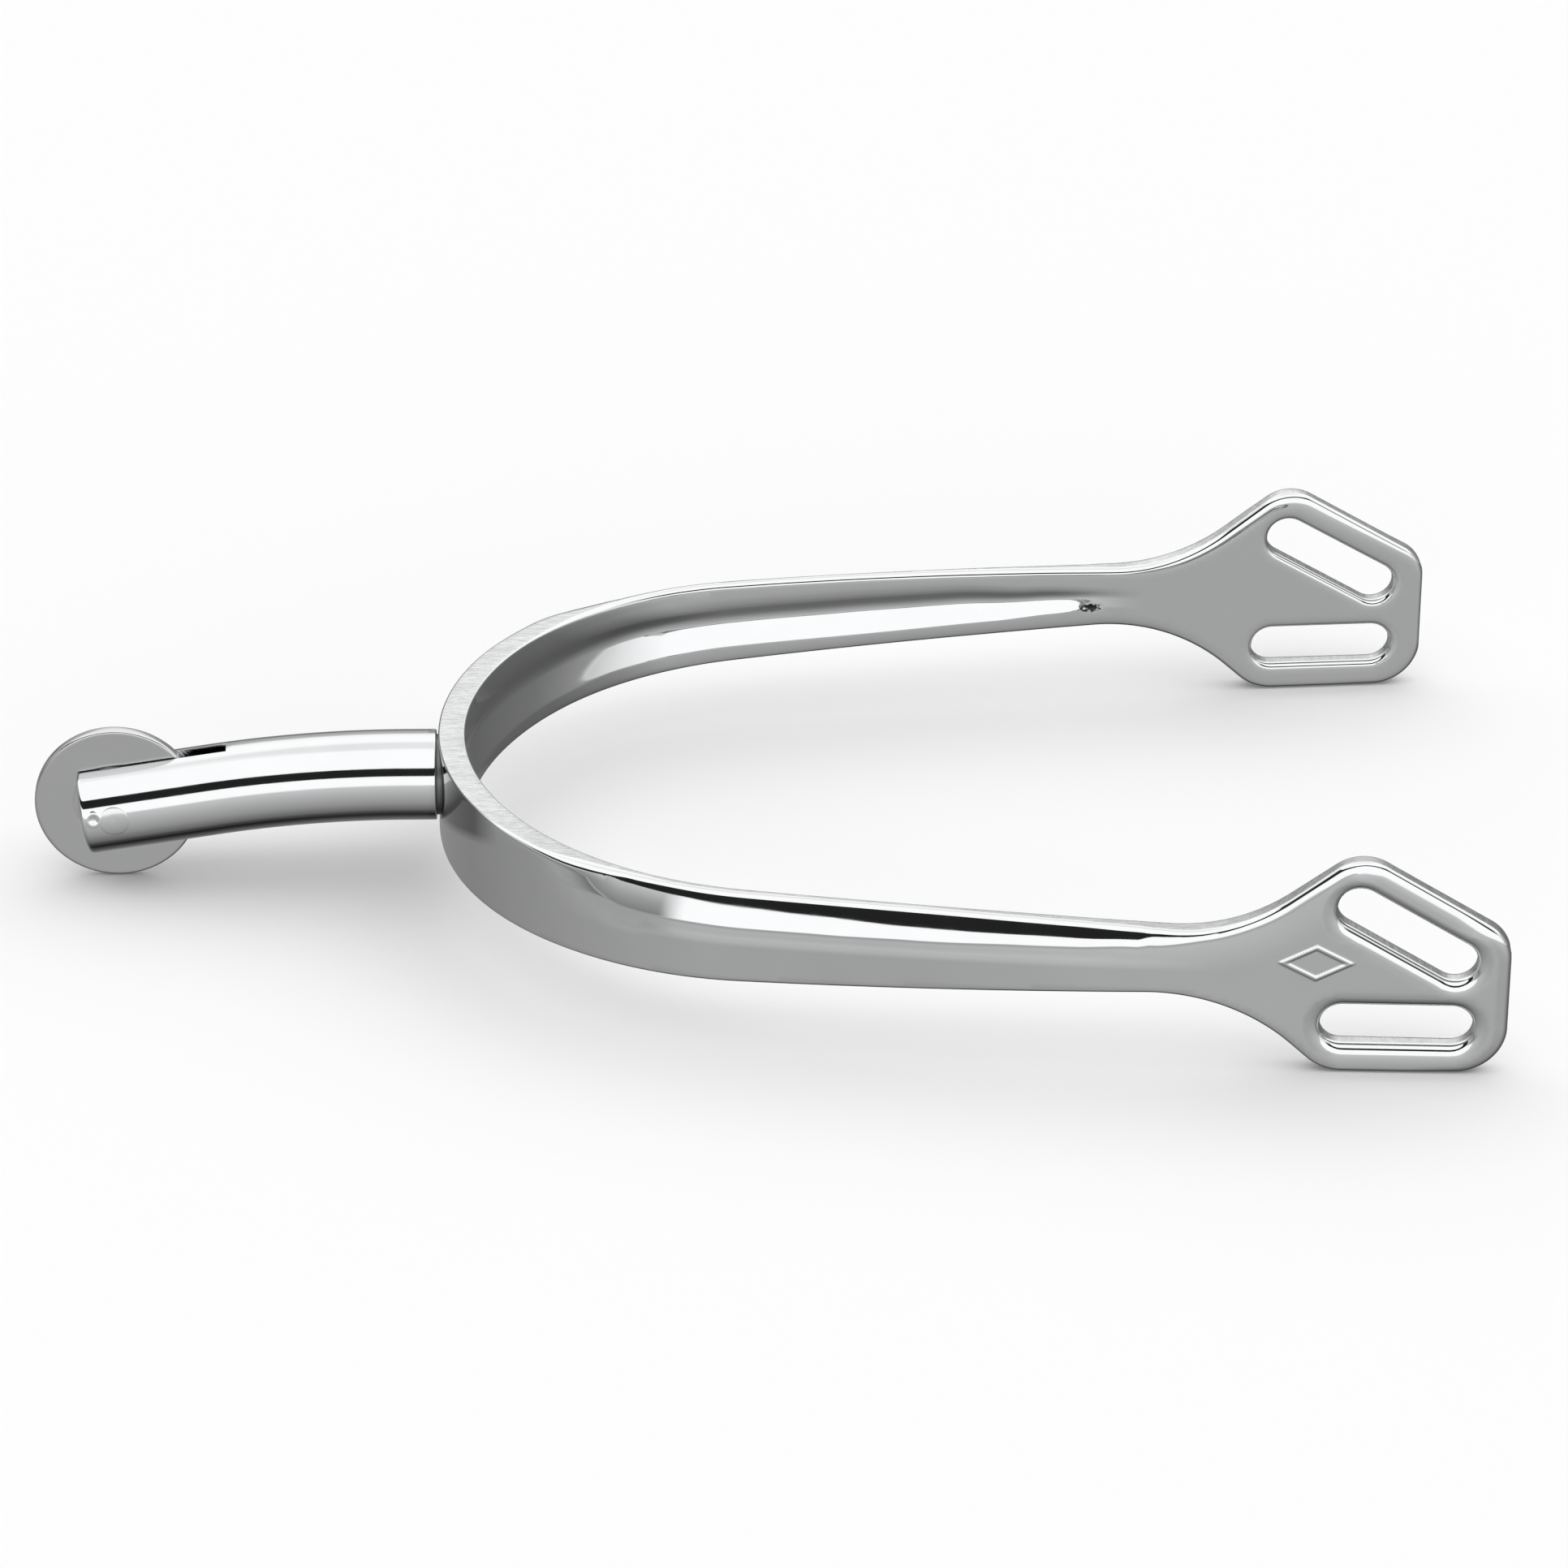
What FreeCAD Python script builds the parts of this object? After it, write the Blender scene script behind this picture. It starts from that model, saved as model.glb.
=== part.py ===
import FreeCAD, Part
import math
import os

import Sketcher

# A riding spur: a U-shaped heel band with a slotted plate at the end of each branch, a curved
# round neck behind the heel, and a smooth rowel disc that turns on a pin in the neck's fork.
# Millimetres. +X runs from the rowel to the plates, +Y across the heel, +Z up. The spur stands
# on the rowel's rim and on the lower edges of both plates, which is the plane Z = 0.

SIZES = {
    # Places along X are measured from the outside of the heel, heel_x.
    "heel_x": -30.535,
    # Heel band from above: heel arc, long easing arc, straight plates.
    "heel_radius": 34.9,
    "branch_radius": 409.0,
    "band_thickness": 2.8,
    "band_reach": 100.7,
    "plate_half_width": 41.2,
    "plate_heading": 3.0,
    "plate_inner_heading": 3.8,
    "plate_thickness": 2.45,
    # Heel band from the side: the corners of its outline, before rounding, and their radii.
    "heel_top_z": 15.5,
    "heel_bottom_z": 5.05,
    "top_sweep_x": 38.0,
    "top_sweep_radius": 1400.0,
    "top_flare_x": 74.9,
    "top_flare_z": 14.1,
    "top_flare_radius": 17.5,
    "top_corner_x": 86.35,
    "top_corner_z": 23.05,
    "top_corner_radius": 4.2,
    "toe_corner_z": 14.35,
    "toe_corner_radius": 4.0,
    "toe_foot_radius": 4.8,
    "foot_corner_x": 83.4,
    "foot_corner_radius": 5.0,
    "bottom_flare_x": 74.5,
    "bottom_flare_z": 8.25,
    "bottom_flare_radius": 19.3,
    "bottom_sweep_x": 9.0,
    "bottom_sweep_z": 5.95,
    "bottom_sweep_radius": 340.0,
    # Strap slots: centres of the two round ends of each, and the width.
    "lower_slot_left_x": 85.2,
    "lower_slot_right_x": 95.4,
    "lower_slot_z": 4.85,
    "lower_slot_width": 4.2,
    "upper_slot_left_x": 86.4,
    "upper_slot_left_z": 17.25,
    "upper_slot_right_x": 95.5,
    "upper_slot_right_z": 11.8,
    "upper_slot_width": 4.2,
    # Hollow along the inside of the branches, cut by a round tool. The tool's path leaves the
    # heel's arc for the long easing arc where its heading is easing_start_heading degrees.
    "hollow_radius": 5.0,
    "hollow_depth": 0.6,
    "hollow_z": 10.8,
    "hollow_end_x": 65.2,
    "easing_start_heading": 10.0,
    # Rounded edges of the band.
    "outer_edge_round": 0.9,
    "inner_edge_round": 0.4,
    "slot_edge_round": 0.5,
    # Round seat on the heel for the neck.
    "seat_diameter": 8.2,
    "seat_height": 0.4,
    # Neck: a round bar, level at the heel, bent down to the rowel.
    "neck_diameter": 8.9,
    "neck_height": 10.73,
    "neck_level_length": 2.6,
    "neck_bend_radius": 120.0,
    "neck_end_chamfer": 0.3,
    "fork_reach": 3.15,
    "fork_depth": 14.8,
    "fork_width": 1.5,
    # Stud that joins the neck to the heel.
    "stud_diameter": 5.0,
    "stud_depth_in_neck": 8.0,
    "stud_chamfer": 0.4,
    # Rowel disc and its pin.
    "rowel_offset": 31.63,
    "rowel_diameter": 16.0,
    "rowel_thickness": 1.3,
    "rowel_rim_round": 0.35,
    "pin_diameter": 3.0,
    "pin_rise": 0.35,
    "pin_clearance": 0.05,
}

# How far the band's blank and the side outline's waste reach past the finished band.
CUT_MARGIN = 3.0
# How far below the standing plane the band's blank starts.
BLANK_DROP = 1.0
# How much longer than the solid a cut or a bar through it is.
OVERRUN = 2.0

doc = FreeCAD.newDocument("Spur")
sheet = doc.addObject("Spreadsheet::Sheet", "Sizes")
for row, (alias, value) in enumerate(SIZES.items(), start=1):
    sheet.set("A%d" % row, alias)
    sheet.set("B%d" % row, str(value))
    sheet.setAlias("B%d" % row, alias)
doc.recompute()


def size(alias):
    """The sheet's present value of one named size."""
    return float(sheet.get(alias))


def cell(*aliases):
    """An expression that adds up the named cells."""
    return " + ".join("Sizes." + alias for alias in aliases)


def new_body(label):
    body = doc.addObject("PartDesign::Body", label)
    body.Label = label
    return body


def origin_plane(body, role):
    return [item for item in body.Origin.OriginFeatures if item.Role == role][0]


def new_sketch(body, role, name, offset=None):
    """A sketch on one of the body's origin planes, moved along the plane's normal by offset."""
    sketch = body.newObject("Sketcher::SketchObject", name)
    sketch.AttachmentSupport = [(origin_plane(body, role), "")]
    sketch.MapMode = "FlatFace"
    if offset is not None:
        sketch.setExpression("AttachmentOffset.Base.z", offset)
    return sketch


def bind(sketch, name, expression, kind, *geometry):
    """Adds a named dimension to a sketch and ties it to the sheet."""
    index = sketch.addConstraint(Sketcher.Constraint(kind, *geometry))
    sketch.renameConstraint(index, name)
    sketch.setExpression("Constraints." + name, expression)


def locate(sketch, name, geometry, vertex, x, y, x_expression, y_expression):
    """Dimensions one point of a sketch from the origin along both axes."""
    bind(sketch, name + "_x", x_expression, "DistanceX", -1, 1, geometry, vertex, x)
    bind(sketch, name + "_y", y_expression, "DistanceY", -1, 1, geometry, vertex, y)


def circle(sketch, name, x, y, x_expression, y_expression, diameter_expression, diameter):
    centre = FreeCAD.Vector(x, y, 0)
    index = sketch.addGeometry(Part.Circle(centre, FreeCAD.Vector(0, 0, 1), diameter / 2))
    locate(sketch, name, index, 3, x, y, x_expression, y_expression)
    bind(sketch, name + "_diameter", diameter_expression, "Diameter", index, diameter)
    return index


def rounded_outline(sketch, corners):
    """A closed outline of straight edges joined by tangent arcs.

    corners lists (name, x, y, radius, x expression, y expression, radius alias) in order."""
    count = len(corners)
    points = [FreeCAD.Vector(corner[1], corner[2], 0) for corner in corners]
    arcs = []
    for i, (name, x, y, radius, x_expression, y_expression, radius_alias) in enumerate(corners):
        marker = sketch.addGeometry(Part.Point(points[i]), True)
        locate(sketch, name, marker, 1, x, y, x_expression, y_expression)
        before = (points[i - 1] - points[i]).normalize()
        after = (points[(i + 1) % count] - points[i]).normalize()
        half_angle = before.getAngle(after) / 2
        reach = radius / math.tan(half_angle)
        centre = points[i] + (before + after).normalize() * (radius / math.sin(half_angle))
        first = points[i] + before * reach
        last = points[i] + after * reach
        turns_left = before.cross(after).z < 0
        start, end = (first, last) if turns_left else (last, first)
        start_angle = math.atan2(start.y - centre.y, start.x - centre.x)
        end_angle = math.atan2(end.y - centre.y, end.x - centre.x)
        round_corner = Part.Circle(centre, FreeCAD.Vector(0, 0, 1), radius)
        arc = sketch.addGeometry(Part.ArcOfCircle(round_corner, start_angle, end_angle))
        bind(sketch, name + "_radius", cell(radius_alias), "Radius", arc, radius)
        arcs.append((arc, marker, first, last, turns_left))
    for i in range(count):
        arc, marker, first, last, turns_left = arcs[i]
        next_arc, next_marker, next_first, next_last, next_left = arcs[(i + 1) % count]
        line = sketch.addGeometry(Part.LineSegment(last, next_first))
        end_here = 2 if turns_left else 1
        start_there = 1 if next_left else 2
        sketch.addConstraint(Sketcher.Constraint("Tangent", arc, end_here, line, 1))
        sketch.addConstraint(Sketcher.Constraint("Tangent", line, 2, next_arc, start_there))
        sketch.addConstraint(Sketcher.Constraint("PointOnObject", marker, 1, line))
        sketch.addConstraint(Sketcher.Constraint("PointOnObject", next_marker, 1, line))


def rectangle(sketch, low_x, low_y, high_x, high_y):
    corners = [(low_x, low_y), (high_x, low_y), (high_x, high_y), (low_x, high_y)]
    lines = []
    for i, (x, y) in enumerate(corners):
        next_x, next_y = corners[(i + 1) % 4]
        start = FreeCAD.Vector(x, y, 0)
        end = FreeCAD.Vector(next_x, next_y, 0)
        lines.append(sketch.addGeometry(Part.LineSegment(start, end)))
    for i in range(4):
        sketch.addConstraint(Sketcher.Constraint("Coincident", lines[i], 2, lines[(i + 1) % 4], 1))
        sketch.addConstraint(Sketcher.Constraint("Block", lines[i]))


# ---------------------------------------------------------------------------------------------
# Heel band
# ---------------------------------------------------------------------------------------------
def plan_curve(radius, easing_radius, end_y, heading):
    """Centre of the easing arc that joins the heel arc to the plate's straight line."""
    along = FreeCAD.Vector(math.cos(heading), math.sin(heading), 0)
    inward = FreeCAD.Vector(math.sin(heading), -math.cos(heading), 0)
    heel_centre = FreeCAD.Vector(size("heel_x") + size("heel_radius"), 0, 0)
    line_end = FreeCAD.Vector(size("heel_x") + size("band_reach"), end_y, 0)
    drop = (heel_centre - line_end).dot(inward)
    across = easing_radius - drop
    forward = math.sqrt((easing_radius - radius) ** 2 - across ** 2)
    centre = heel_centre + inward * across + along * forward
    join_angle = math.atan2((heel_centre - centre).y, (heel_centre - centre).x)
    return heel_centre, centre, join_angle, math.pi / 2 + heading, line_end


def add_plan_curve(sketch, side, thickness, end_y, heading_alias, radius_offset):
    """One side of the half band seen from above: heel arc, easing arc and straight plate."""
    heading = math.radians(size(heading_alias))
    radius = size("heel_radius") - thickness
    easing_radius = size("branch_radius") - thickness
    heel_centre, centre, join_angle, line_angle, line_end = plan_curve(
        radius, easing_radius, end_y, heading)
    up = FreeCAD.Vector(0, 0, 1)
    heel_circle = Part.Circle(heel_centre, up, radius)
    easing_circle = Part.Circle(centre, up, easing_radius)
    line_direction = FreeCAD.Vector(math.cos(line_angle), math.sin(line_angle), 0)
    line_start = centre + line_direction * easing_radius
    heel = sketch.addGeometry(Part.ArcOfCircle(heel_circle, join_angle, math.pi))
    easing = sketch.addGeometry(Part.ArcOfCircle(easing_circle, line_angle, join_angle))
    plate = sketch.addGeometry(Part.LineSegment(line_start, line_end))
    sketch.addConstraint(Sketcher.Constraint("PointOnObject", heel, 2, -1))
    sketch.addConstraint(Sketcher.Constraint("Tangent", heel, 1, easing, 2))
    sketch.addConstraint(Sketcher.Constraint("Tangent", easing, 1, plate, 1))
    bind(sketch, side + "_heel_radius", cell("heel_radius") + radius_offset, "Radius", heel, radius)
    bind(sketch, side + "_easing_radius", cell("branch_radius") + radius_offset, "Radius", easing,
         easing_radius)
    bind(sketch, side + "_heading", cell(heading_alias) + " * 1 deg", "Angle", plate, heading)
    return heel, easing, plate


band = new_body("heel_band")

# Half of the band from above, between the plane of symmetry and the end of one plate.
plan = new_sketch(band, "XY_Plane", "BandPlan", "-%g" % BLANK_DROP)
outer_end_y = size("plate_half_width")
inner_end_y = outer_end_y - size("plate_thickness")
outer = add_plan_curve(plan, "outer", 0.0, outer_end_y, "plate_heading", "")
inner = add_plan_curve(plan, "inner", size("band_thickness"), inner_end_y, "plate_inner_heading",
                       " - Sizes.band_thickness")
end_x = size("heel_x") + size("band_reach")
toe = plan.addGeometry(Part.LineSegment(FreeCAD.Vector(end_x, outer_end_y, 0),
                                        FreeCAD.Vector(end_x, inner_end_y, 0)))
inner_heel_x = size("heel_x") + size("band_thickness")
root = plan.addGeometry(Part.LineSegment(FreeCAD.Vector(inner_heel_x, 0, 0),
                                         FreeCAD.Vector(size("heel_x"), 0, 0)))
plan.addConstraint(Sketcher.Constraint("PointOnObject", outer[0], 3, -1))
locate(plan, "toe", outer[2], 2, end_x, outer_end_y, cell("heel_x", "band_reach"),
       cell("plate_half_width"))
plan.addConstraint(Sketcher.Constraint("Coincident", outer[2], 2, toe, 1))
plan.addConstraint(Sketcher.Constraint("Coincident", inner[2], 2, toe, 2))
plan.addConstraint(Sketcher.Constraint("Vertical", toe))
bind(plan, "plate_thickness", cell("plate_thickness"), "DistanceY", toe, 2, toe, 1,
     size("plate_thickness"))
plan.addConstraint(Sketcher.Constraint("Coincident", inner[0], 3, outer[0], 3))
plan.addConstraint(Sketcher.Constraint("Coincident", inner[0], 2, root, 1))
plan.addConstraint(Sketcher.Constraint("Coincident", root, 2, outer[0], 2))
bind(plan, "heel_face", cell("heel_x"), "DistanceX", -1, 1, outer[0], 2, size("heel_x"))

blank = band.newObject("PartDesign::Pad", "BandBlank")
blank.Profile = plan
blank.setExpression("Length", cell("top_corner_z") + " + %g" % CUT_MARGIN)
doc.recompute()

# Everything outside the band's outline from the side is cut away.
side_view = new_sketch(band, "XZ_Plane", "BandSideOutline")
rectangle(side_view, size("heel_x") - 2 * CUT_MARGIN, -2 * CUT_MARGIN,
          end_x + CUT_MARGIN, size("top_corner_z") + 2 * CUT_MARGIN)


def side_corner(name, x_alias, z_alias, radius_alias):
    x = size("heel_x") + size(x_alias)
    z = size(z_alias) if z_alias else 0.0
    z_expression = cell(z_alias) if z_alias else "0"
    return (name, x, z, size(radius_alias), cell("heel_x", x_alias), z_expression, radius_alias)


def heel_corner(name, z_alias):
    """A corner of the outline that lies clear of the heel, so that its radius rounds nothing."""
    x = size("heel_x") - CUT_MARGIN
    x_expression = cell("heel_x") + " - %g" % CUT_MARGIN
    return (name, x, size(z_alias), size("inner_edge_round"), x_expression, cell(z_alias),
            "inner_edge_round")


rounded_outline(side_view, [
    heel_corner("heel_bottom", "heel_bottom_z"),
    side_corner("bottom_sweep", "bottom_sweep_x", "bottom_sweep_z", "bottom_sweep_radius"),
    side_corner("bottom_flare", "bottom_flare_x", "bottom_flare_z", "bottom_flare_radius"),
    side_corner("foot_corner", "foot_corner_x", None, "foot_corner_radius"),
    side_corner("toe_foot", "band_reach", None, "toe_foot_radius"),
    side_corner("toe_corner", "band_reach", "toe_corner_z", "toe_corner_radius"),
    side_corner("top_corner", "top_corner_x", "top_corner_z", "top_corner_radius"),
    side_corner("top_flare", "top_flare_x", "top_flare_z", "top_flare_radius"),
    side_corner("top_sweep", "top_sweep_x", "heel_top_z", "top_sweep_radius"),
    heel_corner("heel_top", "heel_top_z"),
])
trim = band.newObject("PartDesign::Pocket", "BandTrim")
trim.Profile = side_view
trim.Type = "ThroughAll"
trim.Midplane = True
doc.recompute()


def slot_outline(sketch, name, left, right, width, left_expressions, right_expressions,
                 width_alias):
    """A slot with round ends, from the centres of its ends and its width."""
    radius = width / 2
    start = FreeCAD.Vector(left[0], left[1], 0)
    end = FreeCAD.Vector(right[0], right[1], 0)
    along = (end - start).normalize()
    side = FreeCAD.Vector(-along.y, along.x, 0) * radius
    angle = math.atan2(side.y, side.x)
    up = FreeCAD.Vector(0, 0, 1)
    left_circle = Part.Circle(start, up, radius)
    right_circle = Part.Circle(end, up, radius)
    left_end = sketch.addGeometry(Part.ArcOfCircle(left_circle, angle, angle + math.pi))
    right_end = sketch.addGeometry(Part.ArcOfCircle(right_circle, angle - math.pi, angle))
    upper = sketch.addGeometry(Part.LineSegment(start + side, end + side))
    lower = sketch.addGeometry(Part.LineSegment(end - side, start - side))
    sketch.addConstraint(Sketcher.Constraint("Tangent", left_end, 1, upper, 1))
    sketch.addConstraint(Sketcher.Constraint("Tangent", upper, 2, right_end, 2))
    sketch.addConstraint(Sketcher.Constraint("Tangent", right_end, 1, lower, 1))
    sketch.addConstraint(Sketcher.Constraint("Tangent", lower, 2, left_end, 2))
    locate(sketch, name + "_left", left_end, 3, left[0], left[1], *left_expressions)
    locate(sketch, name + "_right", right_end, 3, right[0], right[1], *right_expressions)
    sketch.addConstraint(Sketcher.Constraint("Equal", left_end, right_end))
    bind(sketch, name + "_radius", cell(width_alias) + " / 2", "Radius", left_end, radius)


slots = new_sketch(band, "XZ_Plane", "StrapSlots")
for name, left_z, right_z in (("lower_slot", "lower_slot_z", "lower_slot_z"),
                              ("upper_slot", "upper_slot_left_z", "upper_slot_right_z")):
    left_x = name + "_left_x"
    right_x = name + "_right_x"
    slot_outline(slots, name, (size("heel_x") + size(left_x), size(left_z)),
                 (size("heel_x") + size(right_x), size(right_z)), size(name + "_width"),
                 (cell("heel_x", left_x), cell(left_z)), (cell("heel_x", right_x), cell(right_z)),
                 name + "_width")
slot_cut = band.newObject("PartDesign::Pocket", "StrapSlotCut")
slot_cut.Profile = slots
slot_cut.Type = "ThroughAll"
slot_cut.Midplane = True
doc.recompute()


# The hollow runs round the inside of the U. Its tool is a round one whose centre line follows
# the inner face, so that it cuts hollow_depth into it, and runs out with a ball end.
HOLLOW_SETBACK = "(Sizes.band_thickness + Sizes.hollow_radius - Sizes.hollow_depth)"
setback = size("band_thickness") + size("hollow_radius") - size("hollow_depth")
hollow_path = new_sketch(band, "XY_Plane", "HollowPath", cell("hollow_z"))
path_radius = size("heel_radius") - setback
easing_path_radius = size("branch_radius") - setback
join_angle = math.pi / 2 + math.radians(size("easing_start_heading"))
heel_centre = FreeCAD.Vector(size("heel_x") + size("heel_radius"), 0, 0)
join_direction = FreeCAD.Vector(math.cos(join_angle), math.sin(join_angle), 0)
join = heel_centre + join_direction * path_radius
easing_centre = join - join_direction * easing_path_radius
hollow_end_x = size("heel_x") + size("hollow_end_x")
end_angle = math.acos((hollow_end_x - easing_centre.x) / easing_path_radius)
up = FreeCAD.Vector(0, 0, 1)
heel_path = hollow_path.addGeometry(
    Part.ArcOfCircle(Part.Circle(heel_centre, up, path_radius), join_angle, math.pi))
easing_path = hollow_path.addGeometry(
    Part.ArcOfCircle(Part.Circle(easing_centre, up, easing_path_radius), end_angle, join_angle))
hollow_path.addConstraint(Sketcher.Constraint("PointOnObject", heel_path, 3, -1))
hollow_path.addConstraint(Sketcher.Constraint("PointOnObject", heel_path, 2, -1))
hollow_path.addConstraint(Sketcher.Constraint("Tangent", heel_path, 1, easing_path, 2))
bind(hollow_path, "heel_centre", cell("heel_x", "heel_radius"), "DistanceX", -1, 1, heel_path, 3,
     heel_centre.x)
bind(hollow_path, "heel_path_radius", cell("heel_radius") + " - " + HOLLOW_SETBACK, "Radius",
     heel_path, path_radius)
bind(hollow_path, "easing_path_radius", cell("branch_radius") + " - " + HOLLOW_SETBACK, "Radius",
     easing_path, easing_path_radius)
bind(hollow_path, "join_x", cell("heel_x", "heel_radius") + " - (Sizes.heel_radius - "
     + HOLLOW_SETBACK + ") * sin(Sizes.easing_start_heading * 1 deg)", "DistanceX", -1, 1,
     heel_path, 1, join.x)
bind(hollow_path, "end_x", cell("heel_x", "hollow_end_x"), "DistanceX", -1, 1, easing_path, 1,
     hollow_end_x)

hollow_section = new_sketch(band, "XZ_Plane", "HollowSection")
circle(hollow_section, "hollow", size("heel_x") + setback, size("hollow_z"),
       cell("heel_x") + " + " + HOLLOW_SETBACK, cell("hollow_z"),
       "2 * Sizes.hollow_radius", 2 * size("hollow_radius"))
doc.recompute()
hollow = band.newObject("PartDesign::SubtractivePipe", "Hollow")
hollow.Profile = hollow_section
hollow.Spine = (hollow_path, [])
doc.recompute()
hollow_end = band.newObject("PartDesign::SubtractiveSphere", "HollowEnd")
hollow_end.setExpression("Radius", cell("hollow_radius"))
hollow_end.Placement.Base = max((vertex.Point for vertex in hollow_path.Shape.Vertexes),
                                key=lambda point: point.x)
doc.recompute()


def rim_edges(shape, outer_wall, slots_only):
    """Names of the edges where the band's outer or inner wall meets its rim or a slot's wall."""
    slot_lines = []
    for name in ("lower_slot", "upper_slot"):
        left_z = "lower_slot_z" if name == "lower_slot" else "upper_slot_left_z"
        right_z = "lower_slot_z" if name == "lower_slot" else "upper_slot_right_z"
        left = FreeCAD.Vector(size("heel_x") + size(name + "_left_x"), 0, size(left_z))
        right = FreeCAD.Vector(size("heel_x") + size(name + "_right_x"), 0, size(right_z))
        slot_lines.append((Part.LineSegment(left, right).toShape(), size(name + "_width") / 2))
    names = []
    for number, edge in enumerate(shape.Edges, start=1):
        first, last = edge.ParameterRange
        middle = edge.valueAt((first + last) / 2)
        walls = []
        rims = []
        for face in shape.ancestorsOfType(edge, Part.Face):
            normal = face.normalAt(*face.Surface.parameter(middle))
            if abs(normal.y) < 1e-6 and face.BoundBox.YLength > 1e-3:
                rims.append(face)
            elif abs(normal.z) < 1e-6 and face.BoundBox.YLength > 1e-3:
                walls.append(normal)
        if len(walls) != 1 or len(rims) != 1 or (walls[0].y > 0) != outer_wall:
            continue
        flat_middle = Part.Vertex(middle.x, 0, middle.z)
        in_slot = any(flat_middle.distToShape(line)[0] < radius + 0.01
                      for line, radius in slot_lines)
        if in_slot == slots_only:
            names.append("Edge%d" % number)
    return names


def round_edges(base, name, radius_alias, outer_wall, slots_only):
    fillet = band.newObject("PartDesign::Fillet", name)
    fillet.Base = (base, rim_edges(base.Shape, outer_wall, slots_only))
    fillet.setExpression("Radius", cell(radius_alias))
    doc.recompute()
    return fillet


half_band = hollow_end
for name, radius_alias, outer_wall, slots_only in (
        ("SlotEdgesOutside", "slot_edge_round", True, True),
        ("SlotEdgesInside", "slot_edge_round", False, True),
        ("EdgesOutside", "outer_edge_round", True, False),
        ("EdgesInside", "inner_edge_round", False, False)):
    half_band = round_edges(half_band, name, radius_alias, outer_wall, slots_only)

whole_band = band.newObject("PartDesign::Mirrored", "BothHalves")
whole_band.TransformMode = "Whole shape"
whole_band.MirrorPlane = (origin_plane(band, "XZ_Plane"), [""])
band.Tip = whole_band
doc.recompute()

# The round seat stands proud of the heel, behind the neck's end face.
SEAT_X = "Sizes.heel_x - Sizes.seat_height"
seat_sketch = new_sketch(band, "YZ_Plane", "SeatOutline", SEAT_X)
circle(seat_sketch, "seat", 0.0, size("neck_height"), "0", cell("neck_height"),
       cell("seat_diameter"), size("seat_diameter"))
seat = band.newObject("PartDesign::Pad", "NeckSeat")
seat.Profile = seat_sketch
seat.setExpression("Length", cell("seat_height", "band_thickness") + " / 2")
doc.recompute()
bore_sketch = new_sketch(band, "YZ_Plane", "StudBoreOutline", SEAT_X)
circle(bore_sketch, "stud_bore", 0.0, size("neck_height"), "0", cell("neck_height"),
       cell("stud_diameter"), size("stud_diameter"))
stud_bore = band.newObject("PartDesign::Pocket", "StudBore")
stud_bore.Profile = bore_sketch
stud_bore.Reversed = True
stud_bore.setExpression("Length", cell("seat_height", "band_thickness") + " + %g" % OVERRUN)
doc.recompute()

# ---------------------------------------------------------------------------------------------
# Neck
# ---------------------------------------------------------------------------------------------
neck = new_body("neck")
neck_start_x = size("heel_x") - size("seat_height")
rowel_x = size("heel_x") - size("rowel_offset")
rowel_z = size("rowel_diameter") / 2
ROWEL_X = "Sizes.heel_x - Sizes.rowel_offset"
ROWEL_Z = "Sizes.rowel_diameter / 2"
AXIS_Z = ROWEL_Z + " - Sizes.pin_rise"
axis_point = FreeCAD.Vector(rowel_x, rowel_z - size("pin_rise"), 0)


def neck_slope():
    """Slope of the straight outer stretch, tangent to the bend, and the bend's centre."""
    bend_centre = FreeCAD.Vector(neck_start_x - size("neck_level_length"),
                                 size("neck_height") - size("neck_bend_radius"), 0)
    to_axis = axis_point - bend_centre
    bearing = math.atan2(-to_axis.x, to_axis.y)
    return bearing - math.acos(size("neck_bend_radius") / to_axis.Length), bend_centre


slope, bend_centre = neck_slope()
bend_radius = size("neck_bend_radius")
bend_start = FreeCAD.Vector(bend_centre.x, size("neck_height"), 0)
bend_end = bend_centre + FreeCAD.Vector(-math.sin(slope), math.cos(slope), 0) * bend_radius
outward = FreeCAD.Vector(-math.cos(slope), -math.sin(slope), 0)
fork_end = axis_point + outward * size("fork_reach")
neck_start = FreeCAD.Vector(neck_start_x, size("neck_height"), 0)

neck_path = new_sketch(neck, "XZ_Plane", "NeckPath")
level = neck_path.addGeometry(Part.LineSegment(neck_start, bend_start))
bend_circle = Part.Circle(bend_centre, up, bend_radius)
bend = neck_path.addGeometry(Part.ArcOfCircle(bend_circle, math.pi / 2, math.pi / 2 + slope))
straight = neck_path.addGeometry(Part.LineSegment(bend_end, fork_end))
axis_mark = neck_path.addGeometry(Part.Point(axis_point), True)
neck_path.addConstraint(Sketcher.Constraint("Tangent", level, 2, bend, 1))
neck_path.addConstraint(Sketcher.Constraint("Tangent", bend, 2, straight, 1))
neck_path.addConstraint(Sketcher.Constraint("Horizontal", level))
neck_path.addConstraint(Sketcher.Constraint("PointOnObject", axis_mark, 1, straight))
locate(neck_path, "neck_start", level, 1, neck_start.x, neck_start.y, SEAT_X, cell("neck_height"))
locate(neck_path, "below_rowel", axis_mark, 1, axis_point.x, axis_point.y, ROWEL_X, AXIS_Z)
bind(neck_path, "level_length", cell("neck_level_length"), "DistanceX", level, 2, level, 1,
     size("neck_level_length"))
bind(neck_path, "bend_radius", cell("neck_bend_radius"), "Radius", bend, bend_radius)
bind(neck_path, "fork_reach", cell("fork_reach"), "Distance", axis_mark, 1, straight, 2,
     size("fork_reach"))

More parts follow.
